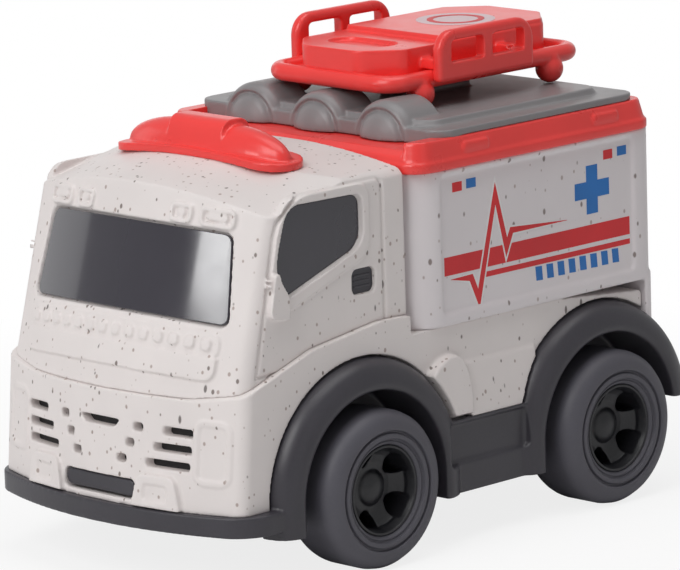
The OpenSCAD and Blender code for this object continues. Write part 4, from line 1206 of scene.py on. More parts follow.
@dataclass
class Chassis:
    """Dark floor with the fenders, skirts, bumpers and wheel wells.

    Attributes:
        floor: Lowest and highest plane of the floor.
        arch_r: Inner radius of a fender.
        fender_r: Outer radius of a fender.
        fender_y: Outer face of a fender.
        seat_y: Face of the body that a fender lies on.
        well_y: Inner and outer face of the plate behind a wheel.
        deck_z: Height under the lower body.
        skirt_x: Rear and front end of a side skirt.
        panel: Corners of a skirt's sunk panel.
        bumper: Bowed front of the bumper pan.
        ends: Rearmost and foremost plane.
        leg_z: Lowest height of the rear fenders' rear legs.
        axle_hole: Radius of the axles' holes.
    """

    floor: Span = (11.0, 13.5)
    arch_r: float = 21.5
    fender_r: float = 28.5
    fender_y: float = 42.0
    seat_y: float = 34.8
    well_y: Span = (26.0, 27.5)
    deck_z: float = 27.5
    skirt_x: Span = (-27.5, 6.5)
    panel: Outline = rectangle((-21.5, 4.2), (17.8, 26.6))
    bumper: Bow = Bow(apex_x=73, base_z=13.0, lean=0, bow_r=100)
    ends: Span = (-73, 73)
    leg_z: float = 20.5
    axle_hole: float = 2.4

    def fender(self, x: float) -> Mesh:
        """Makes the left fender over a wheel, with its legs.

        Args:
            x: Place of the axle.

        Returns:
            A closed mesh.
        """
        r, edge, y = self.arch_r, self.fender_r, self.fender_y
        root = self.well_y[0] + 0.2
        profile = [(r, root), (r, y - 0.5), (r + 0.9, y), (r + 3.4, y), (edge - 1.0, y - 2.2),
                   (edge, y - 5.0), (edge, self.seat_y), (r + 2, self.seat_y), (r + 2, root)]
        mesh = turned(profile, (0, 0.3, 0.3, 2.2, 2.0, 1.5, 0, 0, 0), Vector((x, 0, AXLE_Z)),
                      Vector((0, -1, 0)), 64, math.pi)
        leg = bmesh.ops.extrude_edge_only(mesh, edges=open_edges(mesh))
        low = [g for g in leg["geom"] if isinstance(g, bmesh.types.BMVert)]
        bmesh.ops.translate(mesh, vec=(0, 0, self.floor[0] - AXLE_Z), verts=low)
        return close(mesh)

    def well(self, x: float) -> Mesh:
        """Makes the plate behind a left wheel.

        Args:
            x: Place of the axle.

        Returns:
            A closed mesh.
        """
        mesh = rod(x, AXLE_Z, *self.well_y, self.arch_r + 2)
        bmesh.ops.bisect_plane(mesh, geom=mesh.verts[:] + mesh.edges[:] + mesh.faces[:], dist=1e-5,
                               plane_co=(0, 0, self.floor[0]), plane_no=(0, 0, -1), clear_outer=True)
        return close(mesh)

    def parts(self) -> list[Mesh]:
        """Makes the solids that the chassis is melted from.

        Returns:
            Closed meshes.
        """
        (low, high), deck, rear = self.floor, self.deck_z, self.ends[0]
        inner = (-26.5, 26.5)
        parts = [prism(rectangle((-72, 62), inner), low, high, Axis.UP),
                 prism(rectangle((-27, 6), (-39, 39)), low, high, Axis.UP),
                 self.bumper.slab(40.5, depth=23, low=0, high=4.6, corner=6.0),
                 prism(rectangle((rear, -68.5), (-37, 37)), 17.5, deck, Axis.UP, corner=1.2),
                 prism(rectangle((rear, -68.5), inner), low, deck, Axis.UP, corner=1.0),
                 prism(rectangle((rear, -58.6), inner), 25, deck, Axis.UP, corner=1.0),
                 prism(rectangle((-10.7, 10.7), (19.3, 22.9)), 59.6, 70.4, Axis.ALONG, corner=1.4),
                 prism(rectangle((-9, 9), (14, 22)), 59.6, 62.6, Axis.ALONG)]
        parts += side_prisms(rectangle(self.skirt_x, (low, deck)), 36, 40.0, corner=(3.5, 1.5, 0, 0))
        parts += side_prisms(rectangle((19.5, 35.5), (low, 17.5)), 17.5, 23.5)
        for x in AXLES_X:
            parts += both_sides(lambda: self.fender(x))
            parts += both_sides(lambda: self.well(x))
        return parts

    def cutters(self) -> list[Mesh]:
        """Makes the solids that are cut out of it.

        Returns:
            Closed meshes.
        """
        start, end = self.well_y[1] + 0.1, 60
        clear = self.arch_r - 0.2
        cuts = side_prisms(self.panel, 39.2, 42, corner=1.2, flare=(1.03, 1.06))
        cuts += [rod(x, AXLE_Z, -34, 34, self.axle_hole, 32) for x in AXLES_X]
        for x in AXLES_X:
            cuts += both_sides(lambda: rod(x, AXLE_Z, start, end, clear, 96))
            cuts += side_prisms(rectangle((x - clear, x + clear), (0, AXLE_Z)), start, end)
        cuts.append(prism(rectangle((-58, -17.4), (-6.8, 12.5)), 5, 14, Axis.UP))
        cuts.append(prism(rectangle((self.ends[1], 90), (-50, 50)), 0, 40, Axis.UP))
        cuts.append(prism(rectangle((-90, self.ends[0]), (-50, 50)), 0, 40, Axis.UP))
        cuts += side_prisms(rectangle((-90, -66), (0, self.leg_z)), start, end)
        return cuts

    def build(self) -> bpy.types.Object:
        """Makes the chassis and melts its parts into one.

        Returns:
            The chassis.
        """
        obj = to_object("chassis_skin", self.parts())
        carve(obj, self.cutters())
        return place(mould(obj, grain=0.38, rounds=4), Body.TOY, DARK, "dark_plastic", "chassis")


@dataclass
class Wheels:
    """Four soft tyres on spoked hubs.

    Attributes:
        axles: Body and word for each axle, from the front.
        spokes: Spokes of a hub.
        tread: Profile of a tyre, as distances from its axis and places across the vehicle.
        tread_corner: Rounding of this profile's corners.
        barrel: Profile of the hub's barrel.
        disc: Profile of the hub's dished disc.
        boss_r: Radius of the hub's inner boss.
        cap: Radii of the hub's cap.
        opening: Corners of an opening between two spokes, outwards from the axis and round it.
        bore_r: Radius of the axle's hole.
    """

    axles: tuple[tuple[Body, str], ...] = ((Body.FRONT_AXLE, "front"), (Body.REAR_AXLE, "rear"))
    spokes: int = 5
    tread: Outline = ((10.0, 28.0), (14.5, 28.0), (17.5, 31.5), (17.5, 45.0), (13.3, 45.0), (13.1, 44.2),
                      (12.7, 44.2), (12.5, 44.9), (11.5, 44.9), (11.3, 44.1), (11.0, 44.1), (10.7, 44.4),
                      (10.0, 43.6))
    tread_corner: Rounding = (0, 2.2, 2.0, 3.7, 0.25, 0.12, 0.12, 0.25, 0.25, 0.1, 0.1, 0.2, 0.2)
    barrel: Outline = ((8.6, 28.8), (9.95, 28.8), (9.95, 43.8), (9.4, 44.0), (8.6, 42.0))
    disc: Outline = ((0, 36.6), (6.5, 36.8), (9.3, 38.6), (9.3, 41.8), (7.4, 40.2), (5.6, 39.4), (0, 39.3))
    boss_r: float = 3.4
    cap: Point = (4.1, 2.3, 4.1)
    opening: Outline = ((4.9, 0.0), (6.4, -2.2), (8.6, -3.1), (8.9, 0.0), (8.6, 3.1), (6.4, 2.2))
    bore_r: float = 1.52

    def tyre(self, x: float) -> Mesh:
        """Makes a left tyre.

        Args:
            x: Place of its axle.

        Returns:
            A closed mesh.
        """
        return turned(self.tread, self.tread_corner, Vector((x, 0, AXLE_Z)), Vector((0, 1, 0)), 128)

    def hub(self, x: float) -> bpy.types.Object:
        """Makes a left hub.

        Args:
            x: Place of its axle.

        Returns:
            The hub, without its finish.
        """
        centre, axis = Vector((x, 0, AXLE_Z)), Vector((0, 1, 0))
        barrel, disc = (turned(profile, 0, centre, axis, 96) for profile in (self.barrel, self.disc))
        boss = rod(x, AXLE_Z, 28.5, 37.5, self.boss_r)
        obj = to_object("hub", [barrel, disc, boss, ellipsoid((x, 38.8, AXLE_Z), self.cap)])
        cuts = []
        for i in range(self.spokes):
            cut = prism(self.opening, 34, 43, Axis.UP, corner=(0.9, 0.8, 0.9, 0.5, 0.9, 0.8))
            turn = (Matrix.Translation(centre) @ Matrix.Rotation(i * math.tau / self.spokes, 4, "Y")
                    @ Matrix.Rotation(-math.pi / 2, 4, "X"))
            bmesh.ops.transform(cut, matrix=turn, verts=cut.verts)
            cuts.append(cut)
        cuts.append(rod(x, AXLE_Z, 20, 38.2, self.bore_r, 32))
        carve(obj, cuts)
        return mould(obj, grain=0.2, rounds=4, most=36000)

    def build(self) -> list[bpy.types.Object]:
        """Makes all the wheels.

        Returns:
            The pieces.
        """
        pieces = []
        for x, (body, word) in zip(AXLES_X, self.axles):
            hub = self.hub(x)
            for side in Side:
                name = f"{word}_{side.value}"
                obj = to_object(f"{name}_tyre_skin", [on_side(lambda: self.tyre(x), side)])
                obj.data.shade_smooth()
                obj.data.set_sharp_from_angle(angle=math.radians(60))
                pieces.append(place(obj, body, TYRE, "tyre_plastic", f"{name}_tyre"))
                piece = hub
                if side is Side.RIGHT:
                    piece = bpy.data.objects.new("hub", hub.data.copy())
                    piece.data.transform(Matrix.Scale(-1, 4, (0, 1, 0)))
                    piece.data.flip_normals()
                    bpy.context.scene.collection.objects.link(piece)
                piece.name = f"{name}_hub_skin"
                # The hub's finish carries painted shade of its recess.
                pieces.append(place(piece, body, SHADED_HUB, "hub_plastic", f"{name}_hub"))
        return pieces


@dataclass
class Box:
    """White box with a sunk panel on each side and its printed stripes.

    Attributes:
        half_w: Half of its width.
        span: Its rear and front wall.
        height: Its foot and top.
        depth: Depth of the side panels.
        pillar: Size of the slanted front pillars.
        tail: Length of the rear wall's apron.
        tail_z: Foot and top of this apron.
        panel: Corners of a side panel.
        wide_stripe: Corners of the wide stripe.
        thin_stripe: Corners of the thin stripe.
        pulse: Points of the pulse line.
        pulse_half: Half of the line's width at these points.
        halo: Width of the pale edge along the line.
        dash: Length and height of the small marks.
        red_dashes: Front ends and foot of the red marks.
        blue_dashes: Front ends and foot of the blue marks.
        sign: Corners of the plain sign.
        bar: Corners of the first of the plain bars.
        bars: Number of the bars.
        bar_pitch: Spacing of the bars.
    """

    half_w: float = 39.0
    span: Span = (-67.0, 10.7)
    height: Span = (48.5, 83.3)
    depth: float = 0.7
    pillar: float = 4.8
    tail: float = 4.0
    tail_z: Span = (38.0, 50.0)
    panel: Outline = rectangle((-59.5, 2.7), (51.3, 82.0))
    wide_stripe: Outline = rectangle((-58.5, 1.7), (59.6, 63.7))
    thin_stripe: Outline = rectangle((-58.5, -10.9), (57.4, 58.6))
    pulse: Outline = ((-0.2, 58.6), (-6.6, 58.1), (-8.9, 53.0), (-14.8, 75.6), (-18.1, 63.0), (-19.8, 66.6),
                      (-37.8, 66.0))
    pulse_half: tuple[float, ...] = (0.05, 0.75, 0.75, 0.75, 0.75, 0.7, 0.05)
    halo: float = 0.45
    dash: Span = (3.0, 2.1)
    red_dashes: Point = (-1.4, -50.2, 77.8)
    blue_dashes: Point = (-5.8, -54.8, 78.0)
    sign: Outline = ((-48.1, 66.2), (-44.4, 66.2), (-44.4, 69.8), (-40.6, 69.8), (-40.6, 73.6), (-44.4, 73.6),
                     (-44.4, 77.2), (-48.1, 77.2), (-48.1, 73.6), (-51.9, 73.6), (-51.9, 69.8), (-48.1, 69.8))
    bar: Outline = ((-27.5, 53.9), (-29.6, 53.8), (-29.3, 57.0), (-27.2, 57.1))
    bars: int = 8
    bar_pitch: float = 3.6

    def build(self) -> bpy.types.Object:
        """Makes the box.

        Returns:
            The box.
        """
        (rear, front), w, cut = self.span, self.half_w, self.pillar
        plan = [(rear, -w), (front - cut, -w), (front, -w + cut),
                (front, w - cut), (front - cut, w), (rear, w)]
        tail = rectangle((rear, rear + self.tail), (-w, w))
        obj = to_object("box_skin", [
            prism(plan, *self.height, Axis.UP, corner=(5.0, 3.0, 3.0, 3.0, 3.0, 5.0), steps=10),
            prism(tail, *self.tail_z, Axis.UP, corner=(3.9, 0, 0, 3.9), steps=10)])
        carve(obj, side_prisms(self.panel, w - self.depth, w + 2, corner=1.6, flare=(1.02, 1.04)))
        mould(obj, grain=0.42, rounds=3, most=150000)
        return place(obj, Body.TOY, BOX_WHITE, "box_white", "box_shell")

    def print_on(self, name: str, finish: Plastic, shapes: list[Outline], lift: float) -> bpy.types.Object:
        """Prints flat shapes on both side panels.

        Args:
            name: Name of the piece.
            finish: Ink.
            shapes: Outlines in X and Z.
            lift: Thickness of the print above the panel.

        Returns:
            The piece.
        """
        face = self.half_w - self.depth
        parts = [part for shape in shapes for part in side_prisms(shape, face - 0.3, face + lift)]
        return place(to_object(name, parts), Body.TOY, finish, "box_white")

    def dashes(self, front: float, rear: float, foot: float) -> list[Outline]:
        """Gives two small marks of one colour.

        Args:
            front: Front end of the first mark.
            rear: Front end of the second.
            foot: Height of their lower edge.

        Returns:
            Their outlines.
        """
        length, height = self.dash
        return [rectangle((x - length, x), (foot, foot + height)) for x in (front, rear)]

    def dress(self) -> list[bpy.types.Object]:
        """Prints the stripes, the pulse line and the plain signs.

        Returns:
            The pieces.
        """
        last = len(self.pulse) - 1
        wider = [half + self.halo if 0 < i < last else half for i, half in enumerate(self.pulse_half)]
        bars = [[(x - i * self.bar_pitch, z) for x, z in self.bar] for i in range(self.bars)]
        red = [self.wide_stripe, self.thin_stripe, *self.dashes(*self.red_dashes)]
        blue = [*self.dashes(*self.blue_dashes), self.sign, *bars]
        return [self.print_on("red_stripes", RED_INK, red, lift=0.05),
                self.print_on("pulse_halo", WHITE_INK, self.strokes(self.pulse, wider), lift=0.07),
                self.print_on("pulse_line", RED_INK, self.strokes(self.pulse, self.pulse_half), lift=0.09),
                self.print_on("blue_signs", BLUE_INK, blue, lift=0.06)]

    def strokes(self, path: Outline, widths: Sequence[float]) -> list[Outline]:
        """Turns a line into one quadrilateral for each of its stretches, with mitred joints.

        Args:
            path: Points of the line.
            widths: Half width at each point.

        Returns:
            The outlines.
        """
        sides = []
        for i, (x, z) in enumerate(path):
            here = Vector((x, z))
            before = (here - Vector(path[i - 1])).normalized() if i else None
            after = (Vector(path[i + 1]) - here).normalized() if i + 1 < len(path) else None
            along = ((before or after) + (after or before)).normalized()
            normal = Vector((-along.y, along.x))
            edge = before or after
            reach = widths[i] / max(0.3, abs(normal.dot(Vector((-edge.y, edge.x)))))
            sides.append((here + normal * reach, here - normal * reach))
        return [[tuple(start[0]), tuple(start[1]), tuple(end[1]), tuple(end[0])]
                for start, end in zip(sides, sides[1:])]


@dataclass
class Roof:
    """Red rim, grey roof plate with three lamps, and the cab's red light bar.

    Attributes:
        rim_z: Foot, flange and top of the rim.
        rim_y: Half width of the rim.
        rim_x: Rear and front of the rim.
        rim_step: Step between the rim's flange and its upper part.
        lug_x: Middles of the small lugs on the rim's sides.
        slope: Outline, from the side, of what is cut off the rim's front.
        slope_y: Half width of this cut and of the lip's recess.
        lip_x: Rear and front end of the plate's front lip.
        plate_x: Rear and front end of the plate.
        plate_y: Half width of the plate.
        lamp_r: Radius of a lamp.
        lamp_pitch: Spacing of the lamps.
        lamp_x: Place of the lamps' rims along the vehicle.
        lamp_z: Height of the lamps' middles.
        bar_x: Middle of the light bar along the vehicle.
        bar_half: Half of the light bar's length and width at its foot.
    """

    rim_z: Point = (83.3, 85.5, 90.0)
    rim_y: float = 40.1
    rim_x: Span = (-66.1, 11.4)
    rim_step: float = 0.3
    lug_x: Span = (-8.0, -50.0)
    slope: Outline = ((20, 84.0), (20, 95), (-2.9, 95), (-2.9, 90.0), (3.4, 88.4), (8.6, 88.0), (10.4, 87.0),
                      (11.4, 85.2))
    slope_y: float = 34.9
    lip_x: Span = (-5.6, 2.1)
    plate_x: Span = (-62.5, 2.1)
    plate_y: float = 38.5
    lamp_r: float = 9.0
    lamp_pitch: float = 20.5
    lamp_x: float = 1.9
    lamp_z: float = 87.8
    bar_x: float = 34.5
    bar_half: Span = (6.75, 26)

    def rim(self) -> bpy.types.Object:
        """Makes the red rim.

        Returns:
            The rim.
        """
        (low, flange, top), (rear, front), step = self.rim_z, self.rim_x, self.rim_step
        upper = rectangle((rear + step, front - step), (-self.rim_y + step, self.rim_y - step))
        lower = rectangle(self.rim_x, (-self.rim_y, self.rim_y))
        parts = [prism(lower, low, flange, Axis.UP, corner=5.1, steps=8),
                 prism(upper, flange - 0.6, top, Axis.UP, corner=5.0, steps=8, flare=(0.972, 0.975))]
        for x in self.lug_x:
            parts += side_prisms(rectangle((x - 4, x + 4), (86.6, 88.6)), 36, 39.75, corner=0.7)
        obj = to_object("rim_skin", parts)
        recess = rectangle((-6.0, 4.9), (-self.slope_y, self.slope_y))
        carve(obj, [prism(self.slope, -self.slope_y, self.slope_y, Axis.ACROSS),
                    prism(recess, 88.2, 95, Axis.UP, corner=1.0),
                    prism(rectangle((-57, -12), (-30, 30)), 80, 95, Axis.UP, corner=2.0)])
        return place(mould(obj, grain=0.36, rounds=4, most=150000), Body.TOY, RED, "red_plastic", "roof_rim")

    def lamp(self, y: float) -> Mesh:
        """Makes one lamp with its ringed face.

        Args:
            y: Its place across the vehicle.

        Returns:
            A closed mesh.
        """
        r = self.lamp_r
        profile = [(0, -10.9), (r, -10.9), (r, -1.2), (r - 0.9, 0.4), (r - 1.6, 0.6), (r - 1.8, -0.1),
                   (r - 2.3, -0.1), (r - 3.0, 1.3), (3.0, 2.5), (0, 2.7)]
        return turned(profile, (0, 0, 0.8, 0.3, 0.2, 0.1, 0.1, 0.9, 1.5, 0),
                      Vector((self.lamp_x, y, self.lamp_z)), Vector((1, 0, 0)), 96)

    def plate(self) -> bpy.types.Object:
        """Makes the roof plate with its lamps.

        Returns:
            The plate.
        """
        y = self.plate_y
        lip = rectangle(self.lip_x, (-y + 0.1, y - 0.1))
        parts = [prism(rectangle(self.plate_x, (-y, y)), 90.05, 91.6, Axis.UP, corner=5.0, steps=8),
                 prism(rectangle((-57.5, 0.5), (-33.5, 33.5)), 91, 93.0, Axis.UP, corner=5.0, steps=8,
                       flare=(0.97, 0.96)),
                 prism(lip, 88.35, 91.5, Axis.UP, corner=(1.5, 5.0, 5.0, 1.5), steps=8),
                 prism(rectangle((-41.0, -25.0), (-7, 7)), 91, 98.8, Axis.UP, corner=1.0)]
        parts += [self.lamp(i * self.lamp_pitch) for i in (-1, 0, 1)]
        obj = to_object("roof_plate_skin", parts)
        carve(obj, [prism(rectangle((-5.5, 30), (-34.4, 34.4)), 70, 88.4, Axis.UP),
                    prism(rectangle((-40, -5.5), (-34.4, 34.4)), 70, 90.0, Axis.UP)])
        mould(obj, grain=0.34, rounds=4, most=150000)
        return place(obj, Body.TOY, ROOF_GREY, "roof_grey", "roof_plate")

    def light_bar(self) -> bpy.types.Object:
        """Makes the light bar on the cab.

        Returns:
            The light bar.
        """
        x, (half_l, half_w) = self.bar_x, self.bar_half
        plan = rectangle((x - half_l, x + half_l), (-half_w, half_w))
        foot = prism(plan, 86.2, 90.0, Axis.UP, corner=6.6, steps=10)
        slice_across(foot, 2.0)
        for vert in foot.verts:
            vert.co.z -= CAB_ROOF.sag(vert.co.y)
        block = [(x - 5.9, 87.0), (x + 5.9, 87.0), (x + 3.6, 96.2), (x - 3.6, 96.2)]
        parts = [foot, prism(block, -8.5, 8.5, Axis.ACROSS, corner=(0, 0, 2.2, 2.2))]
        parts += both_sides(lambda: ellipsoid((x, 7.0, 88.6), (5.4, 17.6, 6.4)))
        parts += side_prisms(rectangle((x - 5.2, x + 5.2), (84, 93.6)), 6.5, 9.4, corner=(0, 0, 4, 4))
        obj = to_object("light_bar_skin", parts)
        carve(obj, [CAB_ROOF.slab(40, depth=30, low=-70, high=0, corner=1.0)])
        return place(mould(obj, grain=0.28, rounds=4, most=90000), Body.TOY, RED, "red_plastic", "light_bar")


@dataclass
class Stretcher:
    """Red lift-off stretcher with its ring, feet, mattress and rails.

    Attributes:
        x: Middle along the vehicle.
        ring: Length and width of the ring.
        corner: Radius of the ring's corners.
        tube_r: Radius of the ring's tube.
        ring_z: Height of the ring.
        tray_top: Top of the tray.
        foot: Place of a foot from the middle, and its height.
        foot_r: Radius of a foot.
        bed: Half of the mattress's length and width.
        bed_cut: Size of its cut corners.
        bed_h: Height of the mattress above the tray.
        blanket_h: Height of the blanket above the tray.
        rail_x: Rear and front end of a rail from the middle.
        rail_y: Inner and outer face of a rail.
        rail_h: Height of a rail above the tray.
        pillow: Corners of the pillow's hollow from the middle.
        badge_x: Middle of the blanket's print from the stretcher's.
        badge_r: Radius of the printed disc.
        sign_r: Radius of the printed ring.
    """

    x: float = -33.0
    ring: Span = (64.0, 42.0)
    corner: float = 5.0
    tube_r: float = 2.0
    ring_z: float = 99.15
    tray_top: float = 101.15
    foot: Point = (20.9, 19.0, 96.25)
    foot_r: float = 3.2
    bed: Span = (30.0, 16.0)
    bed_cut: float = 7.5
    bed_h: float = 4.8
    blanket_h: float = 6.0
    rail_x: Span = (-11.25, 19.25)
    rail_y: Span = (20.9, 23.7)
    rail_h: float = 9.0
    pillow: Outline = rectangle((15.5, 23.5), (-9.0, 9.0))
    badge_x: float = -10.5
    badge_r: float = 9.0
    sign_r: float = 6.6

    def bend(self, end: int, side: int) -> Mesh:
        """Makes a round corner of the ring.

        Args:
            end: 1 at the front and -1 at the rear.
            side: 1 on the left and -1 on the right.

        Returns:
            A closed mesh.
        """
        inset = self.tube_r + self.corner
        length, width = self.ring
        centre = Vector((self.x + end * (length / 2 - inset), side * (width / 2 - inset), self.ring_z))
        turn = Matrix.Rotation(math.atan2(side, end) - math.pi / 4, 4, "Z")
        start = (Matrix.Translation(centre) @ turn @ Matrix.Translation((self.corner, 0, 0))
                 @ Matrix.Rotation(math.pi / 2, 4, "X"))
        mesh = bmesh.new()
        bmesh.ops.create_circle(mesh, cap_ends=False, segments=24, radius=self.tube_r, matrix=start)
        bmesh.ops.spin(mesh, geom=mesh.verts[:] + mesh.edges[:], cent=centre, axis=(0, 0, 1),
                       angle=math.pi / 2, steps=16, use_merge=False)
        return close(mesh)

    def bar(self, at: Span, length: float, turn: Matrix) -> Mesh:
        """Makes a straight stretch of the ring.

        Args:
            at: Its middle, along and across the vehicle.
            length: Its length.
            turn: Rotation from upright to its direction.

        Returns:
            A closed mesh.
        """
        mesh = bmesh.new()
        bmesh.ops.create_cone(mesh, cap_ends=True, segments=24, radius1=self.tube_r, radius2=self.tube_r,
                              depth=length, matrix=Matrix.Translation((*at, self.ring_z)) @ turn)
        return mesh

    def frame_piece(self) -> bpy.types.Object:
        """Makes the ring with its tray and feet.

        Returns:
            The piece.
        """
        half_l, half_w = self.ring[0] / 2 - self.tube_r, self.ring[1] / 2 - self.tube_r
        along, across = Matrix.Rotation(math.pi / 2, 4, "Y"), Matrix.Rotation(math.pi / 2, 4, "X")
        dx, dy, foot_z = self.foot
        parts = []
        for side in (-1, 1):
            parts.append(self.bar((self.x, side * half_w), 2 * (half_l - self.corner) + 0.2, along))
            parts.append(self.bar((self.x + side * half_l, 0), 2 * (half_w - self.corner) + 0.2, across))
            for end in (-1, 1):
                parts.append(self.bend(end, side))
                at = Vector((self.x + end * dx, side * dy, foot_z))
                parts.append(ellipsoid(tuple(at), (self.foot_r, self.foot_r, self.foot_r)))
                post = bmesh.new()
                bmesh.ops.create_cone(post, cap_ends=True, segments=32, radius1=2.7, radius2=2.2, depth=2.6,
                                      matrix=Matrix.Translation(at + Vector((0, 0, 1.9))))
                parts.append(post)
        tray = rectangle((self.x - half_l, self.x + half_l), (-half_w, half_w))
        parts.append(prism(tray, self.tray_top - 3.2, self.tray_top - 1.7, Axis.UP, corner=self.corner,
                           steps=12))
        obj = to_object("stretcher_frame_skin", parts)
        return place(mould(obj, grain=0.3, rounds=3, most=90000), Body.STRETCHER, RED, "red_plastic",
                     "stretcher_frame")

    def bed_parts(self) -> list[Mesh]:
        """Makes the mattress, the blanket and the rails.

        Returns:
            Closed meshes.
        """
        x, low = self.x, self.tray_top
        (half_l, half_w), cut = self.bed, self.bed_cut
        plan = [(x - half_l, -half_w + cut), (x - half_l + cut, -half_w), (x + half_l - cut, -half_w),
                (x + half_l, -half_w + cut), (x + half_l, half_w - cut), (x + half_l - cut, half_w),
                (x - half_l + cut, half_w), (x - half_l, half_w - cut)]
        blanket = [(px, py) if px < x else (x + half_l * 0.32, math.copysign(half_w - 0.1, py))
                   for px, py in plan if px < x or abs(py) > half_w - 1]
        parts = [prism(plan, low - 1.65, low + self.bed_h, Axis.UP, corner=1.5),
                 prism(blanket, low, low + self.blanket_h, Axis.UP, corner=0.8, steps=3, flare=(0.985, 0.97))]
        for i in range(2):
            strut = rectangle((x - 9.6 + i * 24.0, x - 6.2 + i * 24.0), (low, low + 2.4))
            parts += side_prisms(strut, 14, 22.0, corner=0.4)
        rail = rectangle((x + self.rail_x[0], x + self.rail_x[1]), (self.ring_z - 0.6, low + self.rail_h))
        corner = (1.0, 1.0, 5.0, 5.0)
        parts += both_sides(lambda: ease_rims(prism(rail, *self.rail_y, Axis.ACROSS, corner, steps=6), 1.0))
        return parts

    def bed_piece(self) -> bpy.types.Object:
        """Melts the mattress, the blanket and the rails together and cuts their hollows.

        Returns:
            The piece.
        """
        x, low = self.x, self.tray_top
        obj = to_object("stretcher_bed_skin", self.bed_parts())
        holes = []
        for i in range(2):
            left = x - 8.0 + i * 13.0
            hole = rectangle((left, left + 10.4), (low + 1.6, low + 6.6))
            holes += side_prisms(hole, 20, 25, corner=(0.4, 0.4, 1.0, 1.0))
        pillow = [(x + px, py) for px, py in self.pillow]
        holes.append(prism(pillow, low + 3.9, low + 12, Axis.UP, corner=3.6, steps=6, flare=(1.25, 1.12)))
        carve(obj, holes)
        return place(mould(obj, grain=0.3, rounds=4, most=120000), Body.STRETCHER, RED, "red_plastic",
                     "stretcher_bed")

    def badge(self) -> list[bpy.types.Object]:
        """Makes the pale disc printed on the blanket and the plain ring on it.

        Returns:
            The pieces.
        """
        top, middle, r = self.tray_top + self.blanket_h, self.x + self.badge_x, self.sign_r
        disc = bmesh.new()
        bmesh.ops.create_cone(disc, cap_ends=True, segments=64, radius1=self.badge_r, radius2=self.badge_r,
                              depth=0.3, matrix=Matrix.Translation((middle, 0, top - 0.1)))
        outline = rectangle((middle - r, middle + r), (-r, r))
        ring = frame_band(outline, 1.4, top - 0.2, top + 0.12, Axis.UP, corner=r - 0.01)
        return [place(to_object("blanket_ring", [ring]), Body.STRETCHER, RED_INK, "red_plastic"),
                place(to_object("blanket_badge", [disc]), Body.STRETCHER, BADGE, "red_plastic")]

    def build(self) -> list[bpy.types.Object]:
        """Makes the stretcher.

        Returns:
            The pieces.
        """
        return [self.frame_piece(), self.bed_piece(), *self.badge()]


@dataclass
class InnerParts:
    """CAD nodes inside the toy, shown as they are with their own finishes.

    Attributes:
        finishes: Name and finish of each node.
    """

    finishes: tuple[tuple[str, Finish], ...] = (
        ("front_axle_clamp", DARK), ("motor_case_left", IVORY), ("motor_case_right", IVORY),
        ("axle_gear", IVORY), ("cluster_gear", IVORY), ("flywheel_pinion", IVORY), ("flywheel", STEEL),
        ("front_axle", STEEL),
        ("rear_axle", STEEL), ("chassis_screws", STEEL), ("clamp_screws", STEEL), ("motor_screws", STEEL),
        ("cab_screws", STEEL), ("box_screws", STEEL))

    def dress(self) -> None:
        """Gives each node its finish."""
        for name, finish in self.finishes:
            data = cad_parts[name].data
            data.materials.clear()
            data.materials.append(finish.material())
            LOG.info("%s: CAD node with %s", name, finish.name)


@dataclass(frozen=True)
class Lamp:
    """A soft studio lamp that points at the toy.

    Attributes:
        name: Name of the lamp.
        at: Its place in metres.
        size: Width and height in metres.
        power: Its power in watts.
    """

    name: str
    at: Point
    size: Span
    power: float

    def build(self, target: Vector) -> None:
        """Makes the lamp.

        Args:
            target: Point in metres that it points at.
        """
        data = bpy.data.lights.new(self.name, "AREA")
        data.shape, data.energy = "RECTANGLE", self.power
        data.size, data.size_y = self.size
        obj = bpy.data.objects.new(self.name, data)
        aim = target - Vector(self.at)
        obj.matrix_world = Matrix.Translation(self.at) @ aim.to_track_quat("-Z", "Y").to_matrix().to_4x4()
        bpy.context.scene.collection.objects.link(obj)


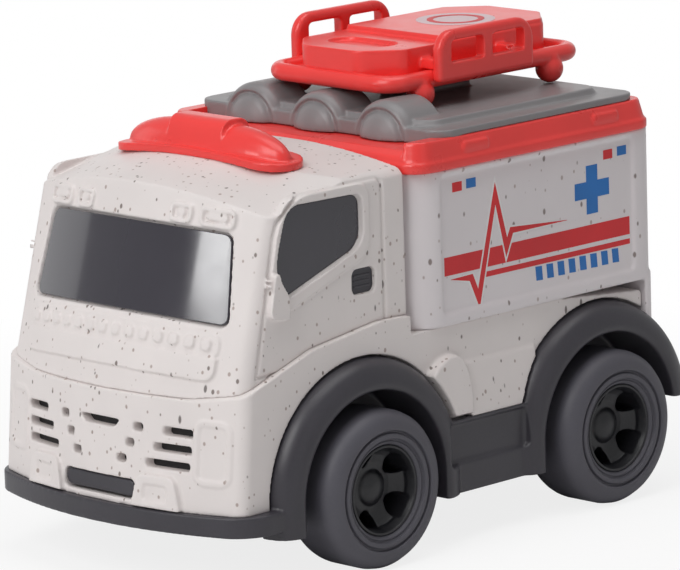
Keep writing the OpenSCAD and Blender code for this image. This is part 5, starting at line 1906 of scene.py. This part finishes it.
@dataclass
class Studio:
    """Pale floor, soft lights and the camera of the photograph.

    Attributes:
        target: Point that the camera looks at.
        back: Direction from the target to the camera.
        up: Camera's upward direction.
        distance: Distance of the camera.
        lens: Focal length.
        shift: Shift of the picture.
        floor_half: Half of the floor's width.
        fade: Distances in metres between which the floor turns plain white.
        lift: Share of white in the floor next to the toy.
        glow: Strength of the surround as a light, and as it is seen.
        mirrored: How much of the seen surround shows in reflections.
        aim: Point in metres that the lamps point at.
        lamps: The lamps.
    """

    target: Vector = Vector((-9.9, 0, 48.94))
    back: Vector = Vector((0.6913, 0.6940, 0.2010))
    up: Vector = Vector((-0.1630, -0.1212, 0.9792))
    distance: float = 1220.0
    lens: float = 287.6
    shift: Span = (-0.0275, 0.0142)
    floor_half: float = 6000.0
    fade: Span = (0.09, 0.24)
    lift: float = 0.82
    glow: Span = (0.17, 1.0)
    mirrored: float = 0.4
    aim: Vector = Vector((0, 0, 0.05))
    lamps: tuple[Lamp, ...] = (
        Lamp("front_softbox", (0.98, 0.14, 0.90), (0.7, 0.8), 7.6),
        Lamp("top_softbox", (-0.1, 0.1, 1.2), (0.9, 0.9), 5.2),
        Lamp("side_softbox", (0.1, 1.2, 0.45), (0.5, 0.7), 0.25),
        Lamp("small_window", (1.02, -0.31, 0.37), (0.2, 0.13), 0.9),
        Lamp("far_card", (0.4, -1.2, 0.3), (0.5, 0.8), 0.9),
        Lamp("back_card", (-0.9, -0.9, 0.32), (1.2, 0.35), 0.7))

    def camera(self) -> None:
        """Makes the camera."""
        data = bpy.data.cameras.new("camera")
        data.lens, data.sensor_width = self.lens, 36.0
        data.shift_x, data.shift_y = self.shift
        data.clip_start, data.clip_end = 0.05, 20.0
        obj = bpy.data.objects.new("camera", data)
        back = self.back.normalized()
        right = self.up.cross(back).normalized()
        turn = Matrix((right, back.cross(right), back)).transposed().to_4x4()
        obj.matrix_world = Matrix.Translation((self.target + back * self.distance) * MM) @ turn
        bpy.context.scene.collection.objects.link(obj)
        bpy.context.scene.camera = obj

    def floor(self) -> None:
        """Makes the pale floor, which turns plain white away from the toy."""
        mesh = bmesh.new()
        bmesh.ops.create_grid(mesh, x_segments=8, y_segments=8, size=self.floor_half)
        obj = to_object("floor", [mesh])
        material = bpy.data.materials.new("pale_floor")
        nodes = Nodes(material)
        where = nodes.add("ShaderNodeTexCoord").outputs["Object"]
        reach = nodes.add("ShaderNodeVectorMath", {0: where}, operation="LENGTH").outputs["Value"]
        far = nodes.spread(reach, *self.fade, 0.0, 1.0)
        seen = nodes.add("ShaderNodeLightPath").outputs["Is Camera Ray"]
        near = nodes.add("ShaderNodeBsdfDiffuse", {"Color": opaque((0.93, 0.93, 0.93))}).outputs[0]
        white = nodes.add("ShaderNodeEmission", {"Color": opaque((1, 1, 1)), "Strength": 1.0}).outputs[0]
        lifted = nodes.add("ShaderNodeMixShader", {0: self.lift, 1: near, 2: white}).outputs[0]
        shown = nodes.add("ShaderNodeMixShader", {0: far, 1: lifted, 2: white}).outputs[0]
        mixed = nodes.add("ShaderNodeMixShader", {0: seen, 1: near, 2: shown}).outputs[0]
        nodes.add("ShaderNodeOutputMaterial", {0: mixed})
        obj.data.materials.append(material)

    def world(self) -> None:
        """Makes a white surround that lights the toy softly."""
        world = bpy.data.worlds.new("studio")
        bpy.context.scene.world = world
        nodes = Nodes(world)
        path = nodes.add("ShaderNodeLightPath").outputs
        mirrored = nodes.sums("MULTIPLY", path["Is Glossy Ray"], self.mirrored)
        shown = nodes.sums("MAXIMUM", path["Is Camera Ray"], mirrored)
        strength = nodes.spread(shown, 0.0, 1.0, *self.glow)
        surround = nodes.add("ShaderNodeBackground", {"Color": opaque((1, 1, 1)), "Strength": strength})
        nodes.add("ShaderNodeOutputWorld", {0: surround.outputs[0]})

    def build(self) -> None:
        """Makes the studio."""
        self.floor()
        self.world()
        for lamp in self.lamps:
            lamp.build(self.aim)
        self.camera()
        bpy.context.scene.view_settings.view_transform = "Standard"


def main() -> None:
    """Builds every piece in order."""
    logging.basicConfig(level=logging.INFO, format="%(message)s")
    InnerParts().dress()
    cab = Cab()
    cab.build()
    cab.panes()
    body = LowerBody()
    body.build()
    body.backing()
    Chassis().build()
    Wheels().build()
    box = Box()
    box.build()
    box.dress()
    roof = Roof()
    roof.rim()
    roof.plate()
    roof.light_bar()
    Stretcher().build()
    Studio().build()


if __name__ == "__main__":
    main()
